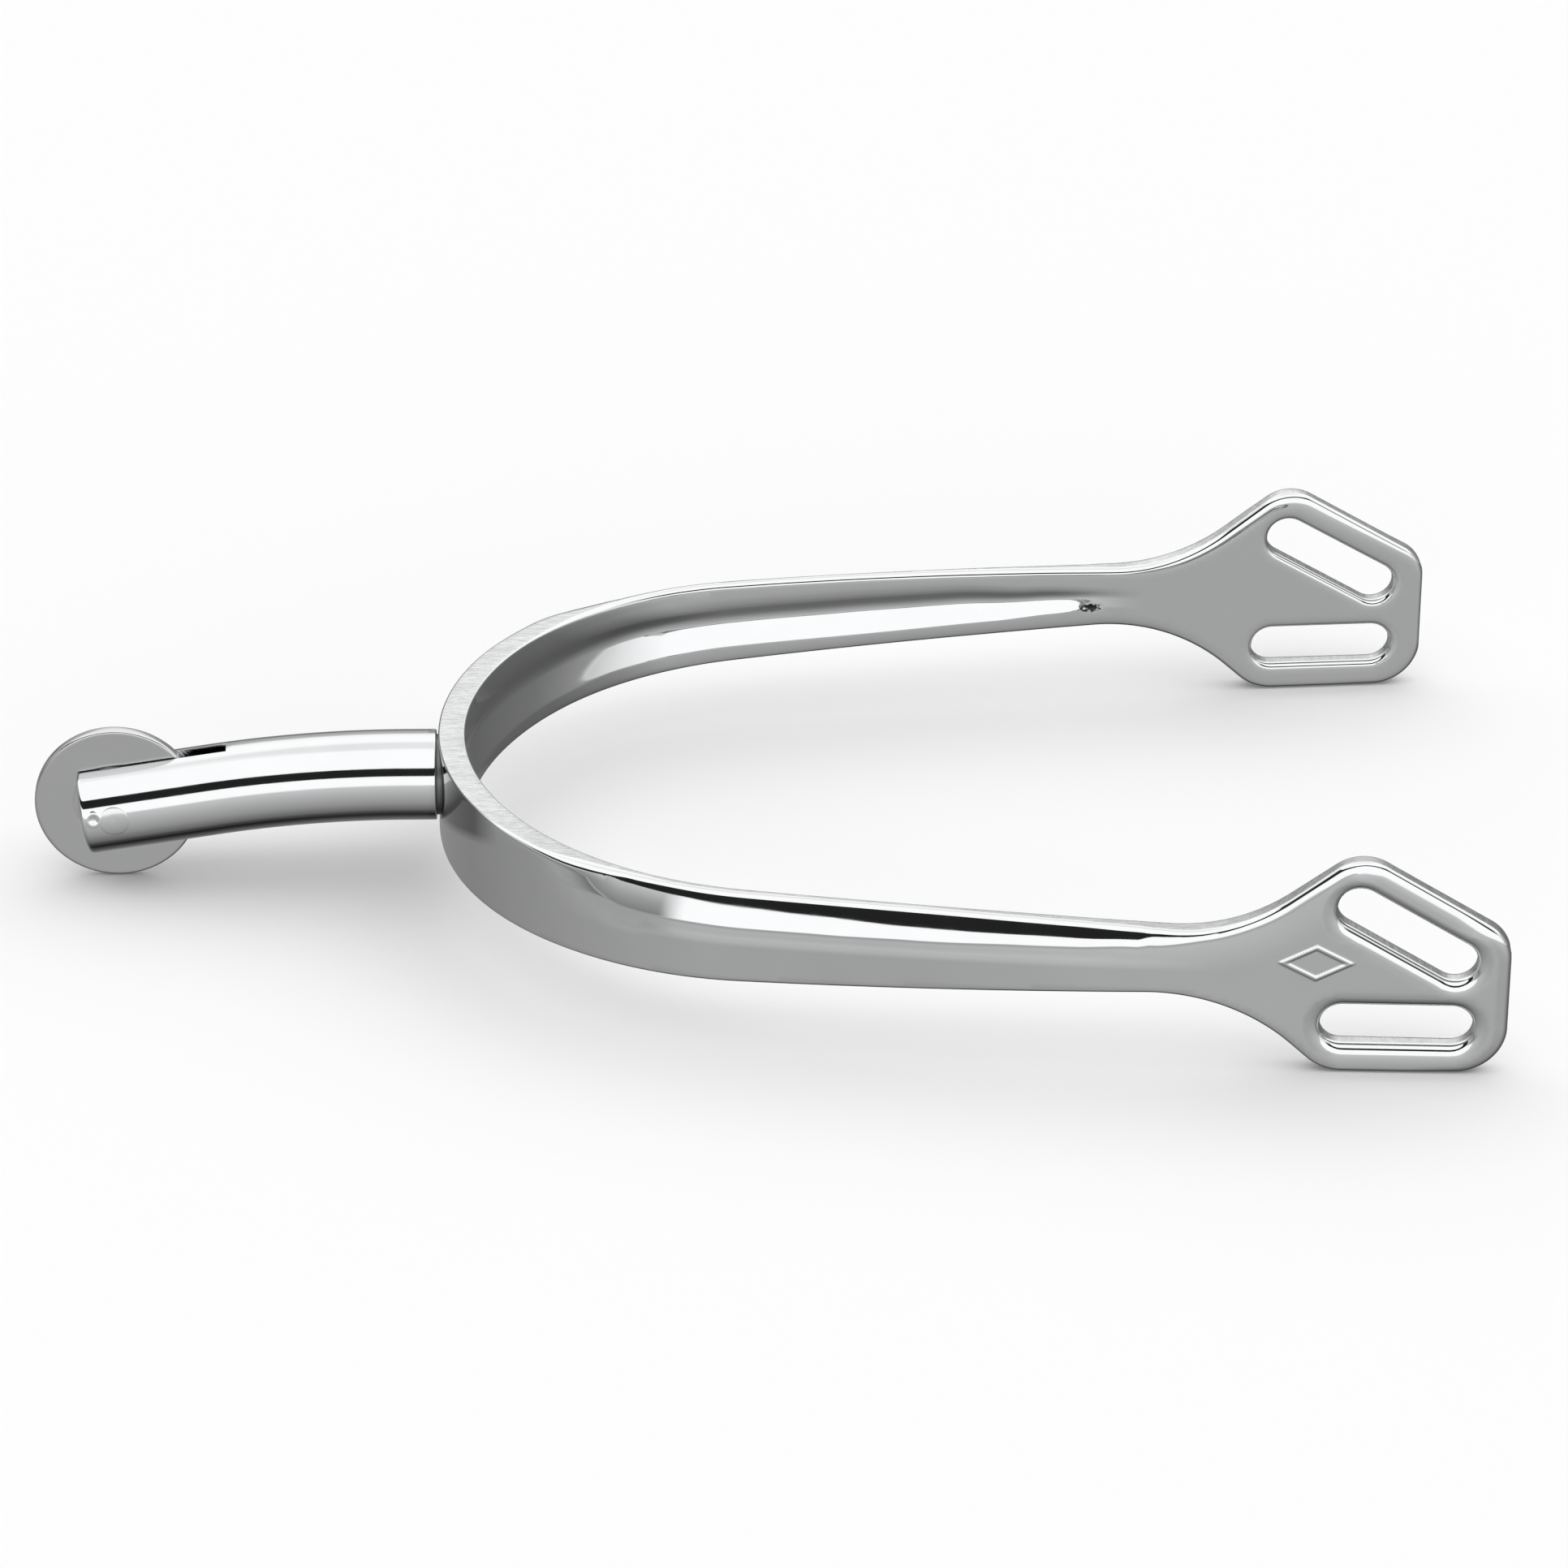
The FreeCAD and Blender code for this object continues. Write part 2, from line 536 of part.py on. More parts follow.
neck_section = new_sketch(neck, "YZ_Plane", "NeckSection", SEAT_X)
circle(neck_section, "neck", 0.0, size("neck_height"), "0", cell("neck_height"),
       cell("neck_diameter"), size("neck_diameter"))
doc.recompute()
bar = neck.newObject("PartDesign::AdditivePipe", "NeckBar")
bar.Profile = neck_section
bar.Spine = (neck_path, [])
doc.recompute()

# The fork is sawn in from the free end, along the bar's axis.
fork_outline = new_sketch(neck, "XZ_Plane", "ForkOutline")
fork_outline.addExternal(neck_path.Name, "Edge3")
AXIS = -3
half_cut = (size("neck_diameter") + OVERRUN) / 2
across_bar = FreeCAD.Vector(-outward.y, outward.x, 0) * half_cut
throat = fork_end - outward * size("fork_depth")
mouth = fork_end + outward * OVERRUN
throat_line = fork_outline.addGeometry(Part.LineSegment(throat - across_bar, throat + across_bar))
upper_line = fork_outline.addGeometry(Part.LineSegment(throat + across_bar, mouth + across_bar))
mouth_line = fork_outline.addGeometry(Part.LineSegment(mouth + across_bar, mouth - across_bar))
lower_line = fork_outline.addGeometry(Part.LineSegment(mouth - across_bar, throat - across_bar))
for first, second in ((throat_line, upper_line), (upper_line, mouth_line),
                      (mouth_line, lower_line), (lower_line, throat_line)):
    fork_outline.addConstraint(Sketcher.Constraint("Coincident", first, 2, second, 1))
for line in (throat_line, mouth_line):
    fork_outline.addConstraint(Sketcher.Constraint("Symmetric", line, 1, line, 2, AXIS))
    bind(fork_outline, "width_%d" % line, cell("neck_diameter") + " + %g" % OVERRUN, "Distance",
         line, 1, line, 2, 2 * half_cut)
bind(fork_outline, "depth", cell("fork_depth"), "Distance", AXIS, 2, throat_line,
     size("fork_depth"))
bind(fork_outline, "overrun", "%g" % OVERRUN, "Distance", AXIS, 2, mouth_line, OVERRUN)
doc.recompute()
fork = neck.newObject("PartDesign::Pocket", "Fork")
fork.Profile = fork_outline
fork.SideType = "Symmetric"
fork.setExpression("Length", cell("fork_width"))
doc.recompute()

pin_bore_outline = new_sketch(neck, "XZ_Plane", "PinBoreOutline")
circle(pin_bore_outline, "pin_bore", rowel_x, rowel_z, ROWEL_X, ROWEL_Z, cell("pin_diameter"),
       size("pin_diameter"))
pin_bore = neck.newObject("PartDesign::Pocket", "PinBore")
pin_bore.Profile = pin_bore_outline
pin_bore.SideType = "Symmetric"
pin_bore.setExpression("Length", cell("neck_diameter") + " + %g" % OVERRUN)
stud_hole_outline = new_sketch(neck, "YZ_Plane", "StudHoleOutline", SEAT_X)
circle(stud_hole_outline, "stud_hole", 0.0, size("neck_height"), "0", cell("neck_height"),
       cell("stud_diameter"), size("stud_diameter"))
doc.recompute()
stud_hole = neck.newObject("PartDesign::Pocket", "StudHole")
stud_hole.Profile = stud_hole_outline
stud_hole.setExpression("Length", cell("stud_depth_in_neck"))
doc.recompute()


def end_edges(shape, point, normal, radius):
    """Names of the edges that lie in a plane and have the given radius."""
    names = []
    for number, edge in enumerate(shape.Edges, start=1):
        if edge.Curve.TypeId != "Part::GeomCircle" or abs(edge.Curve.Radius - radius) > 1e-6:
            continue
        if all(abs((vertex.Point - point).dot(normal)) < 1e-6 for vertex in edge.Vertexes):
            names.append("Edge%d" % number)
    return names


neck_ends = neck.newObject("PartDesign::Chamfer", "NeckEndChamfers")
heel_end = end_edges(stud_hole.Shape, FreeCAD.Vector(neck_start_x, 0, 0), FreeCAD.Vector(1, 0, 0),
                     size("neck_diameter") / 2)
free_end = end_edges(stud_hole.Shape, FreeCAD.Vector(fork_end.x, 0, fork_end.y),
                     FreeCAD.Vector(outward.x, 0, outward.y), size("neck_diameter") / 2)
neck_ends.Base = (stud_hole, heel_end + free_end)
neck_ends.setExpression("Size", cell("neck_end_chamfer"))
doc.recompute()

# ---------------------------------------------------------------------------------------------
# Stud, rowel disc and pin
# ---------------------------------------------------------------------------------------------
stud = new_body("neck_stud")
STUD_START = SEAT_X + " - Sizes.stud_depth_in_neck"
stud_outline = new_sketch(stud, "YZ_Plane", "StudOutline", STUD_START)
circle(stud_outline, "stud", 0.0, size("neck_height"), "0", cell("neck_height"),
       cell("stud_diameter"), size("stud_diameter"))
stud_bar = stud.newObject("PartDesign::Pad", "StudBar")
stud_bar.Profile = stud_outline
stud_bar.setExpression("Length", cell("stud_depth_in_neck", "seat_height", "band_thickness")
                       + " - Sizes.hollow_depth")
doc.recompute()
stud_ends = stud.newObject("PartDesign::Chamfer", "StudEndChamfers")
stud_ends.Base = (stud_bar, ["Edge%d" % number
                             for number, edge in enumerate(stud_bar.Shape.Edges, 1)
                             if edge.Curve.TypeId == "Part::GeomCircle"])
stud_ends.setExpression("Size", cell("stud_chamfer"))
doc.recompute()

rowel = new_body("rowel_disc")
rowel_outline = new_sketch(rowel, "XZ_Plane", "RowelOutline")
circle(rowel_outline, "rowel", rowel_x, rowel_z, ROWEL_X, ROWEL_Z, cell("rowel_diameter"),
       size("rowel_diameter"))
BORE_DIAMETER = "Sizes.pin_diameter + 2 * Sizes.pin_clearance"
circle(rowel_outline, "rowel_bore", rowel_x, rowel_z, ROWEL_X, ROWEL_Z, BORE_DIAMETER,
       size("pin_diameter") + 2 * size("pin_clearance"))
rowel_plate = rowel.newObject("PartDesign::Pad", "RowelPlate")
rowel_plate.Profile = rowel_outline
rowel_plate.SideType = "Symmetric"
rowel_plate.setExpression("Length", cell("rowel_thickness"))
doc.recompute()
rowel_rim = rowel.newObject("PartDesign::Fillet", "RowelRim")
rowel_rim.Base = (rowel_plate, ["Edge%d" % number
                                for number, edge in enumerate(rowel_plate.Shape.Edges, 1)
                                if edge.Curve.TypeId == "Part::GeomCircle"
                                and edge.Curve.Radius > size("pin_diameter")])
rowel_rim.setExpression("Radius", cell("rowel_rim_round"))
doc.recompute()

# The pin's ends are dressed flush with the round of the bar.
pin_bar = doc.addObject("Part::Cylinder", "PinBar")
pin_bar.setExpression("Radius", cell("pin_diameter") + " / 2")
pin_bar.setExpression("Height", cell("neck_diameter") + " + %g" % OVERRUN)
pin_bar.Placement.Rotation = FreeCAD.Rotation(FreeCAD.Vector(1, 0, 0), 90)
pin_bar.setExpression("Placement.Base.x", ROWEL_X)
pin_bar.setExpression("Placement.Base.y", cell("neck_diameter") + " / 2 + %g" % (OVERRUN / 2))
pin_bar.setExpression("Placement.Base.z", ROWEL_Z)
bar_form = doc.addObject("Part::Cylinder", "BarForm")
bar_form.setExpression("Radius", cell("neck_diameter") + " / 2")
bar_form.setExpression("Height", "2 * Sizes.pin_diameter")
form_start = axis_point - outward * size("pin_diameter")
bar_form.Placement = FreeCAD.Placement(
    FreeCAD.Vector(form_start.x, 0, form_start.y),
    FreeCAD.Rotation(FreeCAD.Vector(0, 1, 0), -90 - math.degrees(slope)))
pin = doc.addObject("Part::Common", "axle_pin")
pin.Label = "axle_pin"
pin.Base = pin_bar
pin.Tool = bar_form
doc.recompute()

# ---------------------------------------------------------------------------------------------
# Checks and files
# ---------------------------------------------------------------------------------------------
for item in doc.Objects:
    if "Invalid" in item.State or "Error" in item.State:
        raise RuntimeError("%s failed: %s" % (item.Name, item.State))
os.makedirs("parts", exist_ok=True)
for node in (band, neck, stud, rowel, pin):
    shape = node.Shape
    if shape.isNull() or not shape.isValid() or len(shape.Solids) != 1:
        raise RuntimeError("%s has no valid single solid" % node.Label)
    shape.exportStep("parts/%s.step" % node.Label)
    print("%-12s %9.1f mm3" % (node.Label, shape.Volume))
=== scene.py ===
import math

import bmesh
import bpy
import numpy as np
from mathutils import Matrix, Vector
from mathutils.geometry import delaunay_2d_cdt


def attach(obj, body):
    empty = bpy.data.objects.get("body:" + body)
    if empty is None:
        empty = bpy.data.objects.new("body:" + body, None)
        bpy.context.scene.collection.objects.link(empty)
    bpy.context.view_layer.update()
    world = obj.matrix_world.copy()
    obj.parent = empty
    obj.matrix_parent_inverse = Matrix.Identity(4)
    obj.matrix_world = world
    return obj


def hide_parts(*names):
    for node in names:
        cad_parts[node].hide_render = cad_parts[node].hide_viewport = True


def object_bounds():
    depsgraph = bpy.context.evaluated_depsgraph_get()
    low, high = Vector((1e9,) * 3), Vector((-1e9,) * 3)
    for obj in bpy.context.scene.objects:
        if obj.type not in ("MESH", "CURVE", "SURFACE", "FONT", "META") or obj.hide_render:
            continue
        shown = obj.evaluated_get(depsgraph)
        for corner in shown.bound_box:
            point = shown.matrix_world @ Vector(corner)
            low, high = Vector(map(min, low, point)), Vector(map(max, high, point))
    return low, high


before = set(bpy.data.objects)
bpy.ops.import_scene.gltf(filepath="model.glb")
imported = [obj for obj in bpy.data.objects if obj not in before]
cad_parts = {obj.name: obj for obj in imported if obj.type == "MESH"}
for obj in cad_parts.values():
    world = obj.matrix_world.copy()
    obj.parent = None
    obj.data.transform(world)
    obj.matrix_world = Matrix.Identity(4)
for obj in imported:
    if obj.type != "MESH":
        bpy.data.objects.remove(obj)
cad_low, cad_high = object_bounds()

# Lengths in this script are in millimetres until a mesh is made, and then times MM.
MM = 0.001

# ---------------------------------------------------------------------------------------------
# Sizes that the CAD model has too; where one is eased a little, the CAD's own is beside it
# ---------------------------------------------------------------------------------------------
HEEL_X = -30.535
HEEL_RADIUS = 34.9
BRANCH_RADIUS = 409.0
BAND_THICKNESS = 2.8
PLATE_THICKNESS = 2.45
PLATE_HALF_WIDTH = 41.2
PLATE_HEADING = math.radians(3.0)
BAND_REACH = 100.7
TAPER_START = 75.0          # from here along the band its thickness eases to the plate's
SEAT_HEIGHT = 0.4
SEAT_X = HEEL_X - SEAT_HEIGHT
SEAT_RADIUS = 3.95          # 4.1
NECK_Z = 10.73
NECK_RADIUS = 4.45
NECK_LEVEL = 2.6
NECK_BEND = 120.0
FORK_REACH = 3.15
FORK_DEPTH = 14.8
FORK_WIDTH = 1.6            # 1.5
STUD_RADIUS = 2.5
STUD_DEPTH = 8.0
ROWEL = Vector((HEEL_X - 31.63, 0.0, 8.0))
ROWEL_RADIUS = 7.99         # 8
ROWEL_THICKNESS = 1.22      # 1.3
PIN_RADIUS = 1.5
PIN_CLEARANCE = 0.05
PIN_RISE = 0.35

# Corners of the band's outline from the side: distance from the heel, height, radius.
OUTLINE = (
    (-3.0, 5.05, 0.0), (9.0, 5.95, 340.0), (74.5, 8.25, 19.3), (83.4, 0.0, 5.0),
    (100.7, 0.0, 4.8), (100.7, 14.35, 4.0), (86.35, 23.05, 4.2), (74.9, 14.1, 17.5),
    (38.0, 15.5, 1400.0), (-3.0, 15.5, 0.0),
)
BRANCH_END_U = 70.0         # up to here the outline is one line below and one above
# Strap slots: the centres of their two round ends, and the radius.
SLOTS = (((85.2, 4.85), (95.4, 4.85), 2.1), ((86.4, 17.25), (95.5, 11.8), 2.1))


# ---------------------------------------------------------------------------------------------
# Heel band: a sheet along the band (s, z) is laid round the plan curve, outside and inside
# ---------------------------------------------------------------------------------------------
def plan_centres():
    """Easing arc's centre, and the angles of the plan curve's two joints."""
    along = np.array((math.cos(PLATE_HEADING), math.sin(PLATE_HEADING)))
    inward = np.array((math.sin(PLATE_HEADING), -math.cos(PLATE_HEADING)))
    heel = np.array((HEEL_X + HEEL_RADIUS, 0.0))
    end = np.array((HEEL_X + BAND_REACH, PLATE_HALF_WIDTH))
    across = BRANCH_RADIUS - (heel - end) @ inward
    forward = math.sqrt((BRANCH_RADIUS - HEEL_RADIUS) ** 2 - across ** 2)
    easing = heel + inward * across + along * forward
    join = math.atan2(*(heel - easing)[::-1])
    return heel, easing, join, math.pi / 2 + PLATE_HEADING


HEEL_CENTRE, EASING_CENTRE, JOIN_ANGLE, LINE_ANGLE = plan_centres()
HEEL_LENGTH = HEEL_RADIUS * (math.pi - JOIN_ANGLE)
EASING_LENGTH = BRANCH_RADIUS * (JOIN_ANGLE - LINE_ANGLE)


def plan(s):
    """Points and outward normals of the outer plan curve at signed distances s from the heel."""
    side = np.where(s < 0, -1.0, 1.0)
    t = np.abs(s)
    on_heel = t < HEEL_LENGTH
    on_line = t > HEEL_LENGTH + EASING_LENGTH
    angle = np.where(on_heel, math.pi - t / HEEL_RADIUS,
                     JOIN_ANGLE - (t - HEEL_LENGTH) / BRANCH_RADIUS)
    angle = np.maximum(angle, LINE_ANGLE)
    radius = np.where(on_heel, HEEL_RADIUS, BRANCH_RADIUS)
    centre = np.where(on_heel[:, None], HEEL_CENTRE, EASING_CENTRE)
    run = np.where(on_line, t - HEEL_LENGTH - EASING_LENGTH, 0.0)
    x = centre[:, 0] + radius * np.cos(angle) + run * math.cos(PLATE_HEADING)
    y = centre[:, 1] + radius * np.sin(angle) + run * math.sin(PLATE_HEADING)
    return np.stack((x, side * y), 1), np.stack((np.cos(angle), side * np.sin(angle)), 1)


FINE_S = np.arange(0.0, 130.0, 0.02)
FINE_U = plan(FINE_S)[0][:, 0] - HEEL_X


def s_of(u):
    """Distance along the band from the heel, for a place along X from the heel."""
    return np.interp(u, FINE_U, FINE_S)


def u_of(s):
    """Place along X from the heel, for a distance along the band."""
    return np.interp(np.abs(s), FINE_S, FINE_U)


def thickness(s):
    taper = np.clip((np.abs(s) - TAPER_START) / (FINE_S[np.searchsorted(FINE_U, BAND_REACH)]
                                                 - TAPER_START), 0, 1)
    return BAND_THICKNESS + (PLATE_THICKNESS - BAND_THICKNESS) * taper


def rounded(corners, step=0.05):
    """Points of an open outline with rounded corners."""
    points = [np.array(corners[0][:2])]
    for i in range(1, len(corners) - 1):
        here = np.array(corners[i][:2])
        before = np.array(corners[i - 1][:2]) - here
        after = np.array(corners[i + 1][:2]) - here
        before /= np.linalg.norm(before)
        after /= np.linalg.norm(after)
        half = math.acos(np.clip(before @ after, -1, 1)) / 2
        radius = corners[i][2]
        middle = before + after
        centre = here + middle / np.linalg.norm(middle) * radius / math.sin(half)
        first = here + before * radius / math.tan(half) - centre
        last = here + after * radius / math.tan(half) - centre
        start = math.atan2(first[1], first[0])
        turn = math.atan2(last[1], last[0]) - start
        turn = (turn + math.pi) % (2 * math.pi) - math.pi
        for k in range(int(abs(turn) * radius / step) + 2):
            a = start + turn * k / (int(abs(turn) * radius / step) + 1)
            points.append(centre + radius * np.array((math.cos(a), math.sin(a))))
    points.append(np.array(corners[-1][:2]))
    return np.array(points)


def resample(points, spacing, closed):
    """The same line with its points evenly spaced."""
    if closed:
        points = np.vstack((points, points[:1]))
    run = np.concatenate(([0.0], np.cumsum(np.linalg.norm(np.diff(points, axis=0), axis=1))))
    count = max(int(round(run[-1] / spacing)), 8)
    at = np.linspace(0, run[-1], count + 1)
    found = np.stack([np.interp(at, run, points[:, k]) for k in (0, 1)], 1)
    return found[:-1] if closed else found


def band_outline(spacing):
    """The band's whole outline in (s, z), counter-clockwise."""
    side = rounded(OUTLINE)
    turn = np.argmax(side[:, 0])
    low = side[:turn][side[:turn, 0] < BRANCH_END_U]
    high = side[turn:][side[turn:, 0] < BRANCH_END_U][::-1]
    ahead = side[side[:, 0] >= BRANCH_END_U]
    s = np.arange(0.0, s_of(BRANCH_END_U), 0.05)
    bottom = np.stack((s, np.interp(u_of(s), low[:, 0], low[:, 1])), 1)
    top = np.stack((s, np.interp(u_of(s), high[:, 0], high[:, 1])), 1)
    plate = np.stack((s_of(ahead[:, 0]), ahead[:, 1]), 1)
    half = resample(np.vstack((bottom, plate, top[::-1])), spacing, False)
    half[0, 0] = 0.0
    half[-1, 0] = 0.0
    other = half[1:-1][::-1] * (-1, 1)
    return np.vstack((half, other))


def slot_outline(slot, side, spacing):
    """A slot's outline in (s, z), clockwise, on the branch where s has that sign."""
    (u1, z1), (u2, z2), radius = slot
    ends = [(np.array((s_of(u), z))) for u, z in ((u1, z1), (u2, z2))]
    along = (ends[1] - ends[0]) / np.linalg.norm(ends[1] - ends[0])
    start = math.atan2(along[1], along[0])
    a = np.linspace(-math.pi / 2, math.pi / 2, 90)
    points = [ends[1] + radius * np.stack((np.cos(start + a), np.sin(start + a)), 1),
              ends[0] + radius * np.stack((np.cos(start + a + math.pi),
                                           np.sin(start + a + math.pi)), 1)]
    loop = resample(np.vstack(points), spacing, True)
    if side < 0:
        loop = loop[::-1] * (-1, 1)
    return loop[::-1]


def ease(value, *pairs):
    """Smooth steps between (place, size) pairs."""
    places, sizes = np.array(pairs, float).T
    k = np.clip(np.searchsorted(places, value, side="right") - 1, 0, len(places) - 2)
    t = np.clip((value - places[k]) / (places[k + 1] - places[k]), 0, 1)
    t = t * t * (3 - 2 * t)
    return sizes[k] + (sizes[k + 1] - sizes[k]) * t


class Loop:
    """A closed outline of the sheet with its edge's form at each point."""

    def __init__(self, points, hole):
        self.points = points
        self.hole = hole
        ahead = np.roll(points, -1, 0) - np.roll(points, 1, 0)
        ahead /= np.linalg.norm(ahead, axis=1)[:, None]
        self.inward = np.stack((-ahead[:, 1], ahead[:, 0]), 1)
        self.forms = {}

    def set_form(self, surface, *columns):
        """The columns: bevel, width and rounding, then the facets' share and three widths."""
        flat = np.ones(len(self.points))
        columns = list(columns) + [0.0] * (7 - len(columns))
        self.forms[surface] = np.stack([column * flat for column in columns], 1)


def edge_forms(loop):
    """The edge's form at each point of a loop, on the outside and the inside."""
    u = u_of(loop.points[:, 0])
    if loop.hole:
        loop.set_form("outside", 0.52, 1.5, 0.42)
        loop.set_form("inside", 0.22, 0.9, 0.42)
        return
    upper = ease(-loop.inward[:, 1], (-0.35, 0.0), (0.35, 1.0))
    low = (ease(u, (0.0, 0.0), (70.0, 0.05), (90.0, 0.12), (100.5, 0.4)),
           ease(u, (0.0, 0.3), (70.0, 0.5), (90.0, 0.8), (100.5, 1.1)),
           ease(u, (0.0, 0.3), (30.0, 0.35), (100.0, 0.35)))
    high = (ease(u, (82.0, 0.0), (87.5, 0.6), (96.0, 0.6), (100.5, 0.4)),
            ease(u, (82.0, 1.6), (87.5, 2.8), (96.0, 2.8), (100.5, 1.1)),
            ease(u, (3.0, 0.15), (9.0, 0.45), (12.5, 0.7), (18.0, 0.35), (22.0, 0.25),
                 (100.0, 0.3)))
    share = upper * ease(u, (9.0, 0.0), (17.0, 1.0), (83.0, 1.0), (87.0, 0.0))
    steep = ease(u, (4.0, 0.05), (8.0, 0.12), (12.0, 0.32), (20.0, 0.4), (66.0, 0.4), (70.0, 0.27),
                 (77.0, 0.2), (87.0, 0.16))
    middle = ease(u, (6.0, 0.05), (12.0, 0.08), (16.0, 0.15), (17.6, 0.38), (23.0, 0.48),
                  (28.0, 0.55), (35.5, 0.76), (44.0, 1.03), (49.0, 1.03), (60.0, 0.83),
                  (65.7, 0.55), (67.2, 0.14), (72.0, 0.1), (77.0, 0.02), (87.0, 0.02))
    shallow = ease(u, (4.0, 0.15), (9.0, 0.9), (14.0, 1.9), (20.0, 2.1), (28.0, 2.03), (36.0, 1.73),
                   (44.6, 1.28), (55.0, 0.98), (65.7, 0.68), (67.4, 0.85), (72.0, 0.45),
                   (87.0, 0.6))
    loop.set_form("outside", *[a * upper + b * (1 - upper) for a, b in zip(high, low)],
                  share, steep, middle, shallow)
    high = (ease(u, (3.0, 0.0), (14.0, 0.04), (30.0, 0.1), (68.0, 0.12), (76.0, 0.3), (88.0, 0.42),
                 (100.5, 0.25)),
            ease(u, (3.0, 0.3), (14.0, 0.6), (30.0, 1.0), (68.0, 1.0), (76.0, 1.15), (88.0, 1.6),
                 (100.5, 0.9)),
            # The top edge is rounder on the branch at y > 0.
            np.where(loop.points[:, 0] > 0,
                     ease(u, (3.0, 0.14), (16.0, 0.55), (66.0, 0.6), (78.0, 0.35), (100.0, 0.32)),
                     ease(u, (3.0, 0.14), (20.0, 0.22), (100.0, 0.3))))
    low = (ease(u, (0.0, 0.05), (20.0, 0.14), (66.0, 0.16), (90.0, 0.12), (100.5, 0.25)),
           ease(u, (0.0, 0.5), (20.0, 1.2), (66.0, 1.3), (90.0, 0.8), (100.5, 0.9)),
           ease(u, (0.0, 0.25), (30.0, 0.3), (100.0, 0.4)))
    loop.set_form("inside", *[a * upper + b * (1 - upper) for a, b in zip(high, low)])


def nearest(loop, surface, points):
    """Distance from each point to the loop, and the edge's form there."""
    a = loop.points
    b = np.roll(a, -1, 0)
    ab = b - a
    length2 = (ab ** 2).sum(1)
    form = loop.forms[surface]
    form_next = np.roll(form, -1, 0)
    distance = np.empty(len(points))
    found = np.empty((len(points), form.shape[1]))
    for start in range(0, len(points), 2000):
        p = points[start:start + 2000]
        ap = p[:, None, :] - a[None]
        t = np.clip((ap * ab[None]).sum(2) / length2[None], 0, 1)
        gap2 = ((ap - t[:, :, None] * ab[None]) ** 2).sum(2)
        best = gap2.argmin(1)
        row = np.arange(len(p))
        tt = t[row, best][:, None]
        distance[start:start + 2000] = np.sqrt(gap2[row, best])
        found[start:start + 2000] = form[best] * (1 - tt) + form_next[best] * tt
    return distance, found


# Slopes of the hand-ground facets at the top edge, from the edge down to the flat face.
FACET_SLOPES = (1.0, 0.685, 0.51, 0.285, -0.2, 0.14, 0.0)


def facet_places(form):
    """Distances from the edge at which the facets have those slopes."""
    steep = form[:, 4]
    middle = steep + form[:, 5]
    shallow = middle + form[:, 6]
    return np.stack((0 * steep, steep, middle, shallow, shallow + 0.1, shallow + 0.24,
                     shallow + 3.4), 1)


def edge_depth(distance, form):
    bevel, width, rounding, share = form.T[:4]
    slope = bevel * np.clip(1 - distance / width, 0, 1) ** 2
    inside = np.clip(1 - distance / np.maximum(rounding, 1e-6), 0, 1)
    depth = slope + rounding * (1 - np.sqrt(np.maximum(1 - inside ** 2, 0)))
    places = facet_places(form)
    for k in range(len(FACET_SLOPES) - 1):
        length = np.maximum(places[:, k + 1] - places[:, k], 1e-6)
        left = np.clip(places[:, k + 1] - distance, 0, length)
        rate = (FACET_SLOPES[k] - FACET_SLOPES[k + 1]) / length
        depth += share * left * (FACET_SLOPES[k + 1] + rate * left / 2)
    return depth


# The hollow along the inside: slopes of its surface from the upper lip down to the lower one,
# the upper half ending slowly and the lower half in a short wall.
HOLLOW_END_U = 72.5
HOLLOW_SHARES = np.array((0.0, 0.1, 0.17, 0.24, 0.28, 0.38, 0.45, 0.52, 0.55, 0.575, 0.6, 0.75,
                          0.9, 0.965, 0.985, 1.0))
HOLLOW_SLOPES = np.array((0.0, -0.105, -0.25, -0.31, -0.445, -0.42, -0.27, 0.05, 0.14, 0.3, 0.335,
                          0.39, 0.43, 0.38, 0.1, 0.03))
# Rows of mesh points down the hollow, closest where its slope turns.
ROW_SHARES = (0.0, 0.05, 0.1, 0.17, 0.205, 0.24, 0.26, 0.28, 0.33, 0.38, 0.415, 0.45, 0.485,
              0.52, 0.535, 0.55, 0.5625, 0.575, 0.5875, 0.6, 0.66, 0.73, 0.8, 0.87, 0.92, 0.95,
              0.965, 0.975, 0.985, 1.0)
ROW_STEP = 0.3
PROFILE_SHARES = np.linspace(0.0, 1.0, 401)
PROFILE_SLOPES = np.interp(PROFILE_SHARES, HOLLOW_SHARES, HOLLOW_SLOPES)
PROFILE_DEPTHS = np.cumsum(PROFILE_SLOPES[::-1])[::-1] * (PROFILE_SHARES[1] - PROFILE_SHARES[0])
# A small pit left where the cutter ran out: its place, and its half length and half height.
PIT_U = 66.3
PIT_Z = 10.12
PIT_SIZE = (0.8, 0.26)
PIT_DEPTH = 0.16


def hollow_lips(s, bottom, top):
    """Heights of the hollow's lower and upper lips."""
    u = u_of(s)
    high = top - ease(u, (0.0, 0.75), (10.0, 1.0), (16.0, 1.3), (25.0, 1.5), (36.0, 1.3),
                      (44.0, 1.15), (52.0, 1.1), (60.0, 1.6), (70.0, 1.9))
    low = bottom + ease(u, (0.0, 1.2), (10.0, 1.5), (16.0, 1.75), (25.0, 1.65), (45.0, 1.4),
                        (56.0, 1.5), (62.0, 1.75), (68.0, 2.1))
    return low, high


